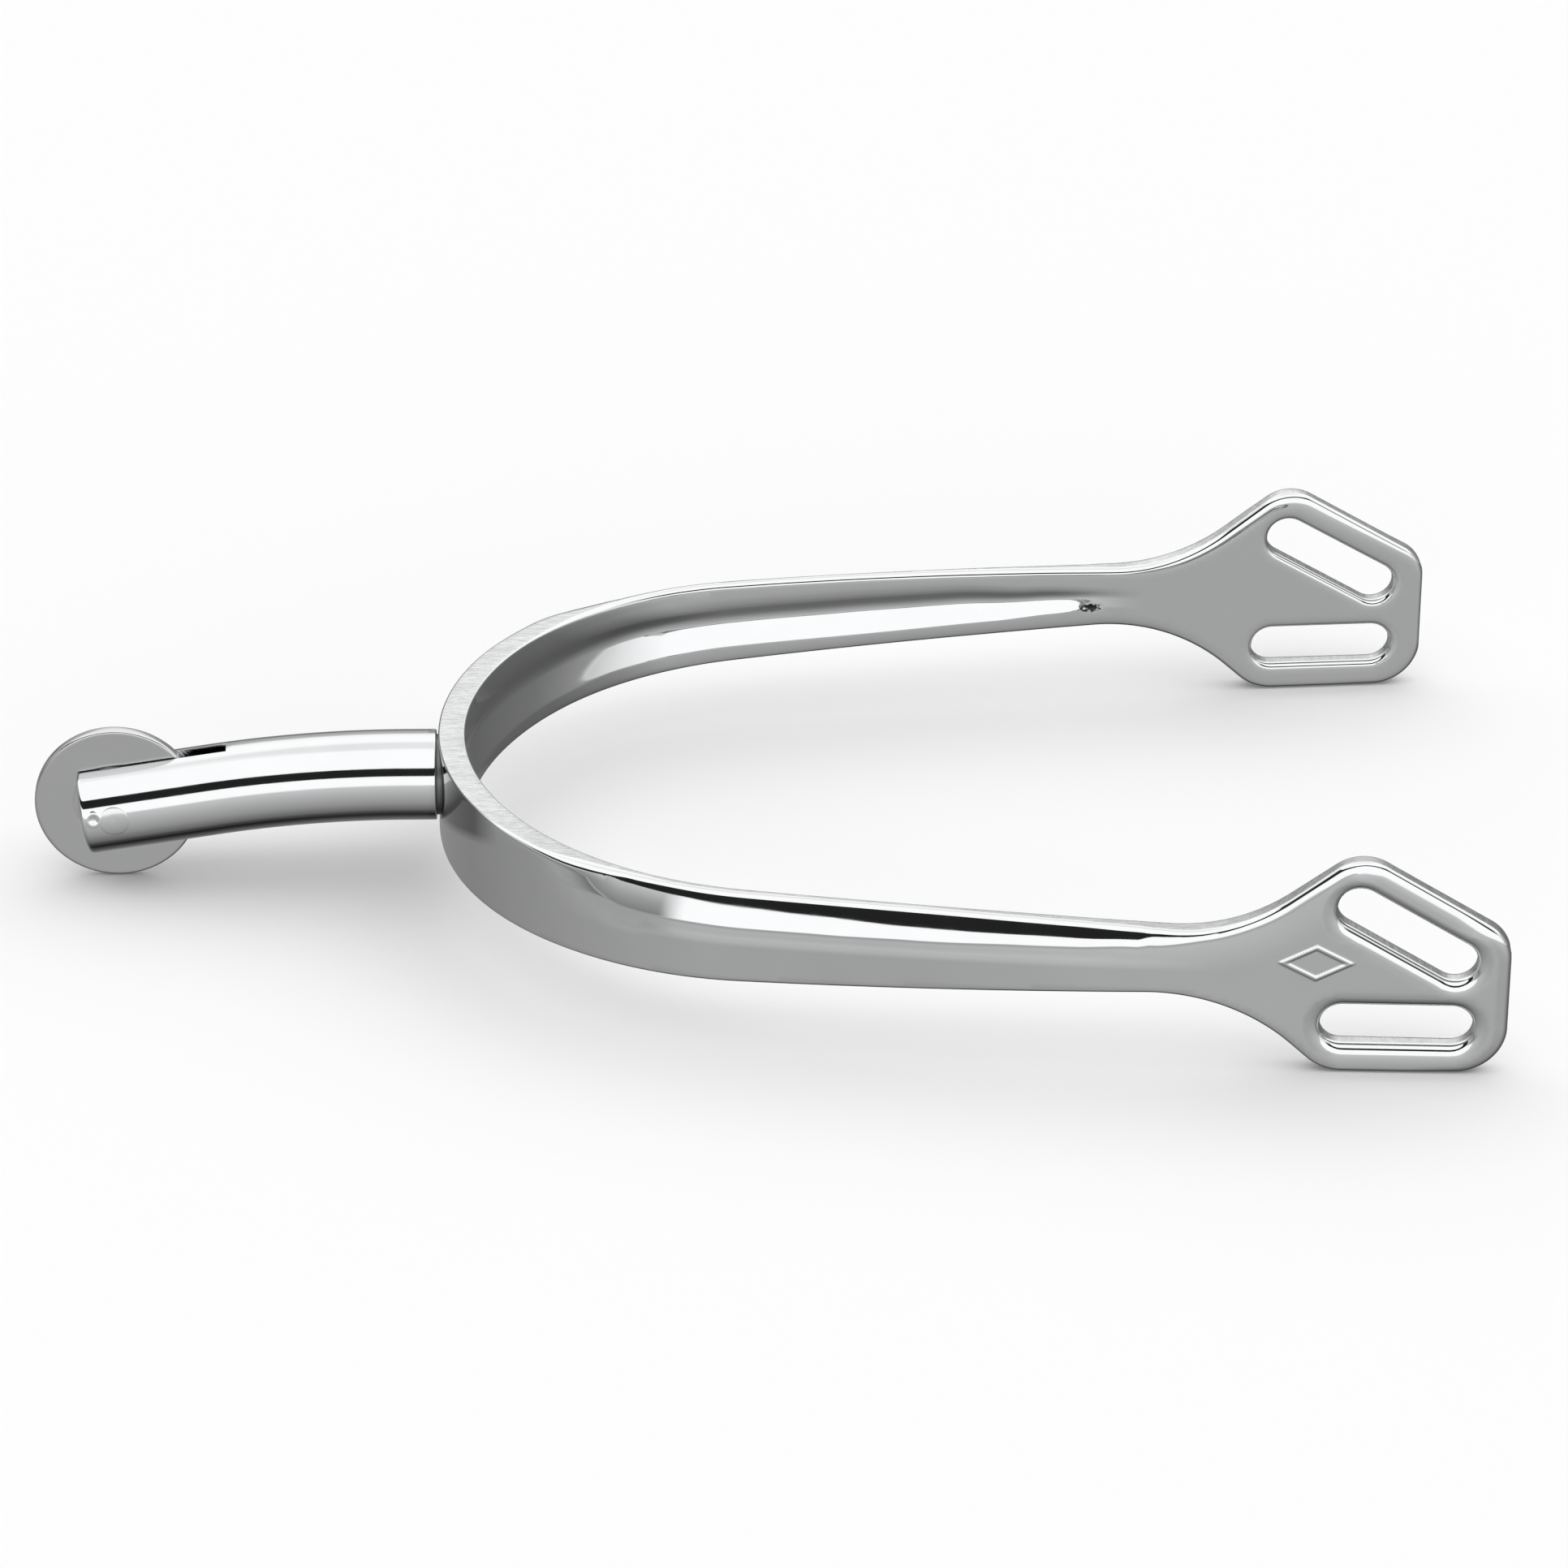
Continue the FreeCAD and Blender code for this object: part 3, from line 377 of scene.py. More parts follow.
def hollow_depth(s, z, bottom, top):
    """Depth of the hollow and its pit, bottom and top being the band's edges there."""
    u = u_of(s)
    low, high = hollow_lips(s, bottom, top)
    share = (high - z) / np.maximum(high - low, 0.1)
    size = ease(u, (0.0, 0.6), (8.0, 0.6), (20.0, 0.97), (61.0, 1.0), (HOLLOW_END_U, 0.0))
    depth = size * (high - low) * np.interp(share, PROFILE_SHARES, PROFILE_DEPTHS)
    return depth + PIT_DEPTH * np.exp(-((u - PIT_U) / PIT_SIZE[0]) ** 2
                                      - ((z - PIT_Z) / PIT_SIZE[1]) ** 2)


# A plain raised lozenge outside the plate at y < 0: centre, half length and half height.
LOZENGE = (82.5, 11.7, 3.6, 1.9)
LOZENGE_RISE = 0.13


def lozenge_height(s, z):
    u, middle, length, height = LOZENGE
    reach = np.abs(u_of(s) - u) / length + np.abs(z - middle) / height
    ridge = ease(reach, (0.7, 0.0), (0.82, 1.0)) * ease(reach, (0.92, 1.0), (1.04, 0.0))
    return np.where(s < 0, LOZENGE_RISE * ridge, 0.0)


def edge_rings(loop, surface):
    """Rows of mesh points that follow a loop's rounding, bevel and facets."""
    form = loop.forms[surface]
    _, width, rounding, share = form.T[:4]
    places = facet_places(form)
    rings = [rounding * (1 - math.cos(math.radians(a))) for a in (12, 25, 40, 55, 72, 90)]
    last = rings[-1]
    found = [loop.points + loop.inward * ring[:, None] for ring in rings]
    for part in (0.3, 0.65):
        ring = rounding + (width - rounding) * part
        use = (width - rounding > 0.4) & (share < 0.3)
        found.append((loop.points + loop.inward * ring[:, None])[use])
    shallow = places[:, 3] - places[:, 2]
    for ring in (places[:, 1] * 0.55, places[:, 1], (places[:, 1] + places[:, 2]) / 2,
                 places[:, 2], places[:, 2] + shallow * 0.33, places[:, 2] + shallow * 0.67,
                 places[:, 3] - 0.05, places[:, 3] + 0.01, places[:, 3] + 0.06,
                 places[:, 4], places[:, 4] + 0.07, places[:, 5], places[:, 5] + 0.12,
                 places[:, 5] + 0.45):
        use = (share > 0.3) & (ring > last + 0.045)
        found.append((loop.points + loop.inward * ring[:, None])[use])
        last = np.where(use, ring, last)
    return np.vstack(found)


def open_grid(surface, loops, outline):
    """Evenly spread mesh points, clear of every loop's rings."""
    reach = np.abs(outline[:, 0]).max()
    step = 0.45
    gs, gz = np.meshgrid(np.arange(-reach, reach, step), np.arange(0.1, 23.0, step))
    gs = gs + (np.arange(gs.shape[0]) % 2)[:, None] * step / 2
    grid = np.stack((gs.ravel(), gz.ravel()), 1)
    grid = grid[inside_loop(grid, outline)]
    keep = np.ones(len(grid), bool)
    for loop in loops:
        d, form = nearest(loop, surface, grid)
        ringed = np.where(form[:, 3] > 0.3, facet_places(form)[:, 5] + 0.6,
                          form[:, 2] + (form[:, 1] - form[:, 2]) * 0.8)
        keep &= d > ringed + 0.15
        if loop.hole:
            keep &= ~inside_loop(grid, loop.points)
    return grid[keep]


def hollow_rows(edge, grid, curves):
    """Rows of mesh points down the hollow, and the grid without the points among them."""
    s = np.arange(-s_of(HOLLOW_END_U), s_of(HOLLOW_END_U), ROW_STEP)
    bottom, top = [np.interp(np.abs(s), curve[:, 0], curve[:, 1]) for curve in curves]
    low, high = hollow_lips(s, bottom, top)
    within = ((grid[:, 1] < np.interp(grid[:, 0], s, high + 0.2, left=-9, right=-9))
              & (grid[:, 1] > np.interp(grid[:, 0], s, low - 0.2, left=99, right=99)))
    rows = []
    for share in ROW_SHARES:
        spots = np.stack((s, high + (low - high) * share), 1)
        d, form = nearest(edge, "inside", spots)
        rows.append(spots[d > form[:, 2] + 0.1])
    return np.vstack(rows), grid[~within]


def make_sheet(surface, loops, outline):
    """Points and triangles of one side of the band in (s, z), and its lower and upper edges."""
    half = outline[:len(outline) // 2 + 1]
    turn = np.argmax(half[:, 0])
    curves = (half[:turn + 1], half[turn:][::-1])
    points = []
    edges = []
    for loop in loops:
        base = len(points)
        count = len(loop.points)
        points.extend(loop.points)
        edges.extend((base + k, base + (k + 1) % count) for k in range(count))
    for loop in loops:
        points.extend(edge_rings(loop, surface))
    grid = open_grid(surface, loops, outline)
    # A fine patch on each branch, round the pit or the lozenge: place, half size and step.
    if surface == "inside":
        rows, grid = hollow_rows(loops[0], grid, curves)
        points.extend(rows)
        at_s, at_z, half_s, half_z, step = s_of(PIT_U), PIT_Z, 2.0, 0.9, 0.12
    else:
        at_s, at_z, half_s, half_z, step = (s_of(LOZENGE[0]), LOZENGE[1], LOZENGE[2] + 0.4,
                                            LOZENGE[3] + 0.3, 0.13)
    fine_s, fine_z = np.meshgrid(np.arange(-half_s, half_s, step), np.arange(-half_z, half_z, step))
    fine = np.stack((fine_s.ravel() + at_s, fine_z.ravel() + at_z), 1)
    in_patch = ((np.abs(np.abs(grid[:, 0]) - at_s) < half_s + 0.2)
                & (np.abs(grid[:, 1] - at_z) < half_z + 0.2))
    points.extend(grid[~in_patch])
    points.extend(fine)
    points.extend(fine * (-1, 1))
    verts, _, faces, originals, _, _ = delaunay_2d_cdt(
        [Vector(p) for p in points], edges, [], 0, 1e-5)
    flat = np.array([v[:] for v in verts])
    triangles = np.array([f[:] for f in faces])
    centre = flat[triangles].mean(1)
    good = inside_loop(centre, outline)
    for loop in loops:
        if loop.hole:
            good &= ~inside_loop(centre, loop.points)
    # Where each loop's own points went.
    where = {old: new for new, olds in enumerate(originals) for old in olds}
    rims = []
    base = 0
    for loop in loops:
        rims.append([where[base + k] for k in range(len(loop.points))])
        base += len(loop.points)
    return flat, triangles[good], rims, curves


def inside_loop(points, loop):
    """Which points lie inside a closed outline."""
    x, y = points.T
    result = np.zeros(len(points), bool)
    a = loop
    b = np.roll(loop, -1, 0)
    for (x1, y1), (x2, y2) in zip(a, b):
        if y1 == y2:
            continue
        crosses = ((y1 > y) != (y2 > y)) & (x < (x2 - x1) * (y - y1) / (y2 - y1) + x1)
        result ^= crosses
    return result


def surface_points(surface, flat, loops, curves):
    """The sheet's points laid on the plan curve, each at its own depth."""
    depth = np.zeros(len(flat))
    for loop in loops:
        depth += edge_depth(*nearest(loop, surface, flat))
    s, z = flat.T
    spots, normals = plan(s)
    if surface == "inside":
        bottom = np.interp(np.abs(s), curves[0][:, 0], curves[0][:, 1])
        top = np.interp(np.abs(s), curves[1][:, 0], curves[1][:, 1])
        depth += hollow_depth(s, z, bottom, top)
        offset = depth - thickness(s)
    else:
        offset = lozenge_height(s, z) - depth
    place = spots + normals * offset[:, None]
    place[:, 0] = np.minimum(place[:, 0], cad_high[0] / MM - 0.005)
    return np.column_stack((place, z))


def mesh_object(name, verts, faces, body):
    mesh = bpy.data.meshes.new(name)
    mesh.from_pydata([tuple(v) for v in np.asarray(verts, float) * MM], [], faces)
    mesh.validate()
    mesh.polygons.foreach_set("use_smooth", [True] * len(mesh.polygons))
    obj = bpy.data.objects.new(name, mesh)
    bpy.context.scene.collection.objects.link(obj)
    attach(obj, body)
    return obj


def band_skin():
    """The band's mesh, and its faces' materials: 0 polished, 1 ground edge, 2 slot walls."""
    outline = band_outline(0.42)
    loops = [Loop(outline, False)]
    for slot in SLOTS:
        for side in (1, -1):
            loops.append(Loop(slot_outline(slot, side, 0.36), True))
    for loop in loops:
        edge_forms(loop)
    verts = []
    faces = []
    rims = {}
    materials = []
    for surface in ("outside", "inside"):
        flat, triangles, rim, curves = make_sheet(surface, loops, outline)
        placed = surface_points(surface, flat, loops, curves)
        base = len(verts)
        verts.extend(placed)
        # Along s to the right the outer normal of the half y > 0 points away from the heel.
        order = (0, 2, 1) if surface == "inside" else (0, 1, 2)
        faces.extend(tuple(base + int(t[k]) for k in order) for t in triangles)
        rims[surface] = [[base + k for k in ring] for ring in rim]
        materials.extend([0] * len(triangles))
    for number, (outer, inner) in enumerate(zip(rims["outside"], rims["inside"])):
        count = len(outer)
        rows = [outer]
        for share in (0.25, 0.5, 0.75):
            base = len(verts)
            for k in range(count):
                p = np.array(verts[outer[k]]) * (1 - share) + np.array(verts[inner[k]]) * share
                verts.append(p)
            rows.append(list(range(base, base + count)))
        rows.append(inner)
        for first, second in zip(rows, rows[1:]):
            for k in range(count):
                j = (k + 1) % count
                faces.append((first[k], second[k], second[j], first[j]))
                materials.append(1 if number == 0 else 2)
    obj = mesh_object("heel_band_skin", verts, faces, "spur")
    return obj, materials


band, band_materials = band_skin()
bm = bmesh.new()
bm.from_mesh(band.data)
bmesh.ops.recalc_face_normals(bm, faces=bm.faces)
bm.to_mesh(band.data)
bm.free()
band.data.polygons.foreach_set("material_index", band_materials)
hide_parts("heel_band")


# ---------------------------------------------------------------------------------------------
# Neck: a round bar along its path, sawn in two for the rowel
# ---------------------------------------------------------------------------------------------
BEND_CENTRE = (SEAT_X - NECK_LEVEL, NECK_Z - NECK_BEND)
TO_AXIS = (ROWEL.x - BEND_CENTRE[0], ROWEL.z - PIN_RISE - BEND_CENTRE[1])
NECK_SLOPE = (math.atan2(-TO_AXIS[0], TO_AXIS[1])
              - math.acos(NECK_BEND / math.hypot(*TO_AXIS)))
BEND_END = (BEND_CENTRE[0] - NECK_BEND * math.sin(NECK_SLOPE),
            BEND_CENTRE[1] + NECK_BEND * math.cos(NECK_SLOPE))
STRAIGHT = math.hypot(ROWEL.x - BEND_END[0], ROWEL.z - PIN_RISE - BEND_END[1])
SEAM_REACH = 0.2            # the bar's end comes this much closer to the band than its seat
DIMPLE_PLACE = 1.25
DIMPLE_RISE = math.radians(11.0)
DIMPLE_RADIUS = 0.62
DIMPLE_DEPTH = 0.13
NECK_LENGTH = NECK_LEVEL + NECK_BEND * NECK_SLOPE + STRAIGHT + FORK_REACH


def neck_path(t):
    """Centre and slope of the neck at distance t from the heel."""
    if t < NECK_LEVEL:
        return SEAT_X - t, NECK_Z, 0.0
    bend = min((t - NECK_LEVEL) / NECK_BEND, NECK_SLOPE)
    rest = t - NECK_LEVEL - NECK_BEND * bend
    x = BEND_CENTRE[0] - NECK_BEND * math.sin(bend) - rest * math.cos(bend)
    z = BEND_CENTRE[1] + NECK_BEND * math.cos(bend) - rest * math.sin(bend)
    return x, z, bend


def neck_point(t, across, up):
    x, z, slope = neck_path(t)
    return (x - up * math.sin(slope), across, z + up * math.cos(slope))


def dimple(t, rise):
    """Depth of the small struck dimple near the free end, t along the bar and rise round it."""
    reach = math.hypot(t - (NECK_LENGTH - DIMPLE_PLACE), (rise - DIMPLE_RISE) * NECK_RADIUS)
    part = reach / DIMPLE_RADIUS
    return DIMPLE_DEPTH * (max(1 - part ** 2, 0) ** 2 - 0.3 * math.exp(-((part - 1) / 0.25) ** 2))


def neck_mesh():
    """Rings of points: two arcs, one on each side of the saw cut, and the points between them."""
    arc = 88
    wall = 8
    half = FORK_WIDTH / 2
    verts = []
    faces = []
    soft = 0.32
    seam = 0.16
    throat = NECK_LENGTH - FORK_DEPTH
    ends = [soft * (1 - math.cos(math.radians(a))) for a in (0, 18, 36, 54, 72, 90)]

    def ring(t, radius, gaps):
        """Near arc, far arc, and where gaps is true the points that close the saw cut."""
        corner = math.asin(half / radius)
        found = []
        for side in (-1, 1):
            row = []
            for k in range(arc + 1):
                a = corner + (math.pi - 2 * corner) * k / arc
                out = radius - (dimple(t, math.pi / 2 - a) if side < 0 else 0.0)
                row.append(len(verts))
                verts.append(neck_point(t, side * out * math.sin(a), out * math.cos(a)))
            found.append(row)
        extra = []
        if gaps:
            for up in (radius, -radius):
                extra.append(len(verts))
                verts.append(neck_point(t, 0.0, up))
        return found, extra

    def join(first, second):
        for k in range(len(first) - 1):
            faces.append((first[k], first[k + 1], second[k + 1], second[k]))

    def full(found, extra):
        """The whole ring in order round the bar."""
        near, far = found
        return near + [extra[1]] + far[::-1] + [extra[0]] + near[:1]

    # From the stud hole's floor out, along the bar to the throat of the fork.
    rows = []
    for t, radius in ([(STUD_DEPTH, 1.2), (STUD_DEPTH, STUD_RADIUS), (0.0, STUD_RADIUS),
                       (-SEAM_REACH, STUD_RADIUS + 0.2), (-SEAM_REACH, 3.4)]
                      + [(seam * (1 - math.cos(math.radians(a))) - SEAM_REACH,
                          NECK_RADIUS - seam * (1 - math.sin(math.radians(a))))
                         for a in (0, 18, 36, 54, 72, 90)]
                      + [(t, NECK_RADIUS) for t in np.arange(1.0, throat - 0.3, 0.55)]
                      + [(throat, NECK_RADIUS)]):
        rows.append(full(*ring(t, radius, True)))
    for first, second in zip(rows, rows[1:]):
        join(first, second)
    faces.append(tuple(rows[0][:-1]))
    # The two cheeks.
    last = rows[-1]
    near = last[:arc + 1]
    far = last[arc + 2:2 * arc + 3][::-1]
    gap_low = last[arc + 1]
    gap_high = last[-2]

    def wall_row(t, radius, side, arc_row):
        """Points down the cheek's flat wall, from the arc's first corner to its last."""
        edge = math.sqrt(radius ** 2 - half ** 2)
        row = [arc_row[0]]
        for k in range(1, wall):
            row.append(len(verts))
            verts.append(neck_point(t, side * half, edge * (1 - 2 * k / wall)))
        return row + [arc_row[-1]]

    cheeks = [(near, wall_row(throat, NECK_RADIUS, -1, near)),
              (far, wall_row(throat, NECK_RADIUS, 1, far))]
    throat_rows = [cheek[1] for cheek in cheeks]
    join(throat_rows[0], throat_rows[1])
    faces.append((near[0], gap_high, far[0]))
    faces.append((near[-1], far[-1], gap_low))
    stations = [(t, NECK_RADIUS) for t in np.linspace(throat, NECK_LENGTH - 3, 22)[1:]]
    stations += [(t, NECK_RADIUS) for t in np.arange(NECK_LENGTH - 2.85, NECK_LENGTH - soft, 0.13)]
    stations += [(NECK_LENGTH - d, NECK_RADIUS - soft * (1 - math.sin(math.radians(a))))
                 for d, a in list(zip(ends, (0, 18, 36, 54, 72, 90)))[::-1][1:]]
    for t, radius in stations:
        found, _ = ring(t, radius, False)
        rows = [wall_row(t, radius, side, row) for side, row in zip((-1, 1), found)]
        for k in range(2):
            join(cheeks[k][0], found[k])
            join(rows[k], cheeks[k][1])
        cheeks = list(zip(found, rows))
    for arc_row, wall_line in cheeks:
        faces.append(tuple(arc_row + wall_line[1:-1][::-1]))
    return verts, faces


def clean(obj, bevel=0.0):
    """Welds, turns the faces outward, and rounds what is still sharp."""
    bm = bmesh.new()
    bm.from_mesh(obj.data)
    bmesh.ops.remove_doubles(bm, verts=bm.verts, dist=1e-7)
    bmesh.ops.recalc_face_normals(bm, faces=bm.faces)
    if bevel:
        sharp = [e for e in bm.edges if e.is_manifold
                 and e.calc_face_angle(0) > math.radians(40)]
        bmesh.ops.bevel(bm, geom=sharp, offset=bevel * MM, segments=3, profile=0.5,
                        affect="EDGES", clamp_overlap=True)
    bm.to_mesh(obj.data)
    bm.free()
    obj.data.polygons.foreach_set("use_smooth", [True] * len(obj.data.polygons))


neck = mesh_object("neck_bar", *neck_mesh(), "spur")
clean(neck, 0.08)
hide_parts("neck")


# ---------------------------------------------------------------------------------------------
# Turned pieces: a profile of (along the axis, radius) points, turned about an axis
# ---------------------------------------------------------------------------------------------
def turned(name, profile, centre, axis, body, count=160, closed=False):
    axis = Vector(axis).normalized()
    turn = Vector((0, 0, 1)).rotation_difference(axis).to_matrix()
    verts = []
    faces = []
    for along, radius in profile:
        for k in range(count):
            a = 2 * math.pi * k / count
            verts.append(Vector(centre) + turn @ Vector((radius * math.cos(a),
                                                         radius * math.sin(a), along)))
    rows = len(profile)
    for row in range(rows if closed else rows - 1):
        here = row * count
        there = (row + 1) % rows * count
        for k in range(count):
            j = (k + 1) % count
            faces.append((here + k, here + j, there + j, there + k))
    if not closed:
        faces.append(tuple(range(count))[::-1])
        faces.append(tuple(range((rows - 1) * count, rows * count)))
    obj = mesh_object(name, verts, faces, body)
    clean(obj)
    return obj


def arc_points(along, radius, size, start, end, steps=5):
    """A rounding of a profile: centre (along, radius), from one angle to another in degrees."""
    found = []
    for k in range(steps + 1):
        a = math.radians(start + (end - start) * k / steps)
        found.append((along + size * math.cos(a), radius + size * math.sin(a)))
    return found


WEAR_RING = 4.08            # radius of the ring that the fork's cheeks wear in the disc


def rowel_profile():
    """Half of the disc's closed profile on each side: face with its wear ring, rim and bore."""
    half = ROWEL_THICKNESS / 2
    bore = PIN_RADIUS + PIN_CLEARANCE
    rim = 0.3
    face = [(half - 0.12, bore), (half - 0.035, bore + 0.035), (half, bore + 0.12)]
    face += [(half, 3.4), (half, WEAR_RING - 0.15), (half - 0.012, WEAR_RING - 0.09),
             (half - 0.022, WEAR_RING), (half - 0.012, WEAR_RING + 0.09),
             (half, WEAR_RING + 0.15), (half, 4.5), (half, 5.5), (half, 6.6),
             (half, ROWEL_RADIUS - rim - 0.2)]
    face += arc_points(half - rim, ROWEL_RADIUS - rim, rim, 0, 90, 7)
    other = [(-along, radius) for along, radius in face[::-1]]
    return face + other


rowel = turned("rowel_disc_turned", rowel_profile(), ROWEL, (0, 1, 0), "rowel", 224, True)
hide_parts("rowel_disc")

seat = turned("neck_seat", [(-1.0, 2.8), (-1.0, SEAT_RADIUS), (SEAT_HEIGHT - 0.02, SEAT_RADIUS),
                            (SEAT_HEIGHT, SEAT_RADIUS - 0.02), (SEAT_HEIGHT, 2.8)],
              (HEEL_X, 0, NECK_Z), (-1, 0, 0), "spur")

STUD_LENGTH = STUD_DEPTH + SEAT_HEIGHT + BAND_THICKNESS - 0.6
stud = turned("neck_stud_bar",
              [(0.0, STUD_RADIUS - 0.4), (0.4, STUD_RADIUS), (STUD_LENGTH - 0.35, STUD_RADIUS)]
              + [(STUD_LENGTH - 0.35 + 0.33 * math.sin(a), STUD_RADIUS - 0.35 * (1 - math.cos(a)))
                 for a in (0.4, 0.8, 1.2, 1.57)]
              + [(STUD_LENGTH + 0.02, 1.3), (STUD_LENGTH + 0.03, 0.6), (STUD_LENGTH - 0.08, 0.25)],
              (SEAT_X - STUD_DEPTH, 0, NECK_Z), (1, 0, 0), "spur", 96)
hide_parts("neck_stud")


def pin_mesh():
    """The pin, its two ends dressed to the round of the bar and a hair proud of it."""
    count = 96
    verts = []
    faces = []
    proud = 0.008
    up = (-math.sin(NECK_SLOPE), math.cos(NECK_SLOPE))
    rings = []
    for side in (-1, 1):
        rows = []
        for radius, drop in ((0.5, 0.0), (1.0, 0.0), (1.3, 0.0), (1.43, 0.002), (1.475, 0.012),
                             (PIN_RADIUS, 0.045)):
            row = []
            for k in range(count):
                a = 2 * math.pi * k / count
                dx, dz = radius * math.cos(a), radius * math.sin(a)
                off = dx * up[0] + (dz + PIN_RISE) * up[1]
                y = math.sqrt(NECK_RADIUS ** 2 - off ** 2) + proud - drop
                row.append(len(verts))
                verts.append((ROWEL.x + dx, side * y, ROWEL.z + dz))
            rows.append(row)
        rings.append(rows)
    near, far = rings
    order = near + far[::-1]
    for first, second in zip(order, order[1:]):
        for k in range(count):
            j = (k + 1) % count
            faces.append((first[k], first[j], second[j], second[k]))
    faces.append(tuple(near[0]))
    faces.append(tuple(far[0]))
    return verts, faces


pin = mesh_object("axle_pin_bar", *pin_mesh(), "spur")
clean(pin)
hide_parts("axle_pin")


# ---------------------------------------------------------------------------------------------
# Materials
# ---------------------------------------------------------------------------------------------
class Nodes:
    """Short calls for building the nodes of a material or of the world."""

    def __init__(self, tree):
        self.tree = tree
        tree.nodes.clear()

    def add(self, kind, inputs=None, **settings):
        node = self.tree.nodes.new("ShaderNode" + kind)
        for key, value in settings.items():
            setattr(node, key, value)
        for key, value in (inputs or {}).items():
            socket = node.inputs[key]
            if isinstance(value, bpy.types.NodeSocket):
                self.tree.links.new(value, socket)
            else:
                socket.default_value = value
        return node

    def math(self, operation, *values, clamp=False):
        node = self.add("Math", dict(enumerate(values)), operation=operation, use_clamp=clamp)
        return node.outputs[0]

    def ramp(self, value, *stops):
        """Colour ramp over (place, grey level) stops."""
        node = self.add("ValToRGB", {"Fac": value})
        elements = node.color_ramp.elements
        while len(elements) > 1:
            elements.remove(elements[-1])
        elements[0].position = stops[0][0]
        elements[0].color = (stops[0][1],) * 3 + (1,)
        for place, level in stops[1:]:
            element = elements.new(place)
            element.color = (level,) * 3 + (1,)
        return node.outputs["Color"]


def noise(n, vector, scale, detail=3.0, roughness=0.55):
    return n.add("TexNoise", {"Vector": vector, "Scale": scale, "Detail": detail,
                              "Roughness": roughness}).outputs["Fac"]


def remap(n, value, low, high, to_low, to_high):
    return n.add("MapRange", {"Value": value, "From Min": low, "From Max": high,
                              "To Min": to_low, "To Max": to_high}).outputs["Result"]


STEEL = (0.70, 0.705, 0.71, 1.0)


def steel(name, shade=None, grain=None, grain_bump=0.0, rough=(0.035, 0.075), tint=1.0,
          rings=None):
    """Steel with cloudy polish marks, a little orange peel and fine scratches.

    Grain stretches a ground finish along an axis, and rings is the centre of a turned one.
    """
    material = bpy.data.materials.new(name)
    material.use_nodes = True
    n = Nodes(material.node_tree)
    spot = n.add("TexCoord").outputs["Object"]
    cloud = noise(n, spot, 260.0, 4.0)
    fine = noise(n, spot, 2600.0, 3.0, 0.6)
    low, high = rough
    roughness = remap(n, cloud, 0.3, 0.7, low, high)
    colour = n.add("Mix", {"Factor": cloud, "A": tuple(c * tint * 0.965 for c in STEEL[:3]) + (1,),
                           "B": tuple(min(c * tint * 1.03, 1) for c in STEEL[:3]) + (1,)},
                   data_type="RGBA").outputs["Result"]
    # A shade function paints shade into the colour.
    if shade is not None:
        colour = n.add("Mix", {"Factor": 1.0, "A": colour, "B": shade(n, spot)}, data_type="RGBA",
                       blend_type="MULTIPLY").outputs["Result"]
    height = n.math("MULTIPLY", fine, 0.0006)
    peel = n.math("MULTIPLY", noise(n, spot, 330.0, 2.0), 0.004)
    height = n.math("ADD", height, peel)
    if grain is not None:
        stretched = n.add("Mapping", {"Vector": spot, "Scale": grain}).outputs["Vector"]
        lines = noise(n, stretched, 4200.0, 4.0, 0.7)
        coarse = noise(n, stretched, 1500.0, 3.0, 0.6)
        both = n.math("ADD", lines, n.math("MULTIPLY", coarse, 0.8))
        height = n.math("ADD", height, n.math("MULTIPLY", both, grain_bump))
        roughness = n.math("ADD", roughness, remap(n, lines, 0.35, 0.65, -0.06, 0.1))
        streak = remap(n, both, 0.72, 1.08, 0.88, 1.12)
        colour = n.add("Mix", {"Factor": 1.0, "A": colour, "B": streak}, data_type="RGBA",
                       blend_type="MULTIPLY").outputs["Result"]
    if rings is not None:
        centred = n.add("VectorMath", {0: spot, 1: tuple(-c * MM for c in rings)},
                        operation="ADD").outputs["Vector"]
        flat = n.add("VectorMath", {0: centred, 1: (1.0, 0.0, 1.0)},
                     operation="MULTIPLY").outputs["Vector"]
        radius = n.add("VectorMath", {0: flat}, operation="LENGTH").outputs["Value"]
        line = n.add("CombineXYZ", {"X": radius}).outputs["Vector"]
        turned_marks = noise(n, line, 9000.0, 4.0, 0.7)
        height = n.math("ADD", height, n.math("MULTIPLY", turned_marks, 0.004))
        worn = n.math("SUBTRACT", 1.0, n.math("MULTIPLY", n.math("ABSOLUTE", n.math(
            "SUBTRACT", radius, WEAR_RING * MM)), 3200.0), clamp=True)
        roughness = n.math("ADD", roughness, n.math("MULTIPLY", worn, 0.12))
    bump = n.add("Bump", {"Strength": 1.0, "Distance": MM, "Height": height}).outputs["Normal"]
    shader = n.add("BsdfPrincipled", {"Base Color": colour, "Metallic": 1.0,
                                      "Roughness": roughness, "Normal": bump})
    n.add("OutputMaterial", {"Surface": shader.outputs[0]})
    return material


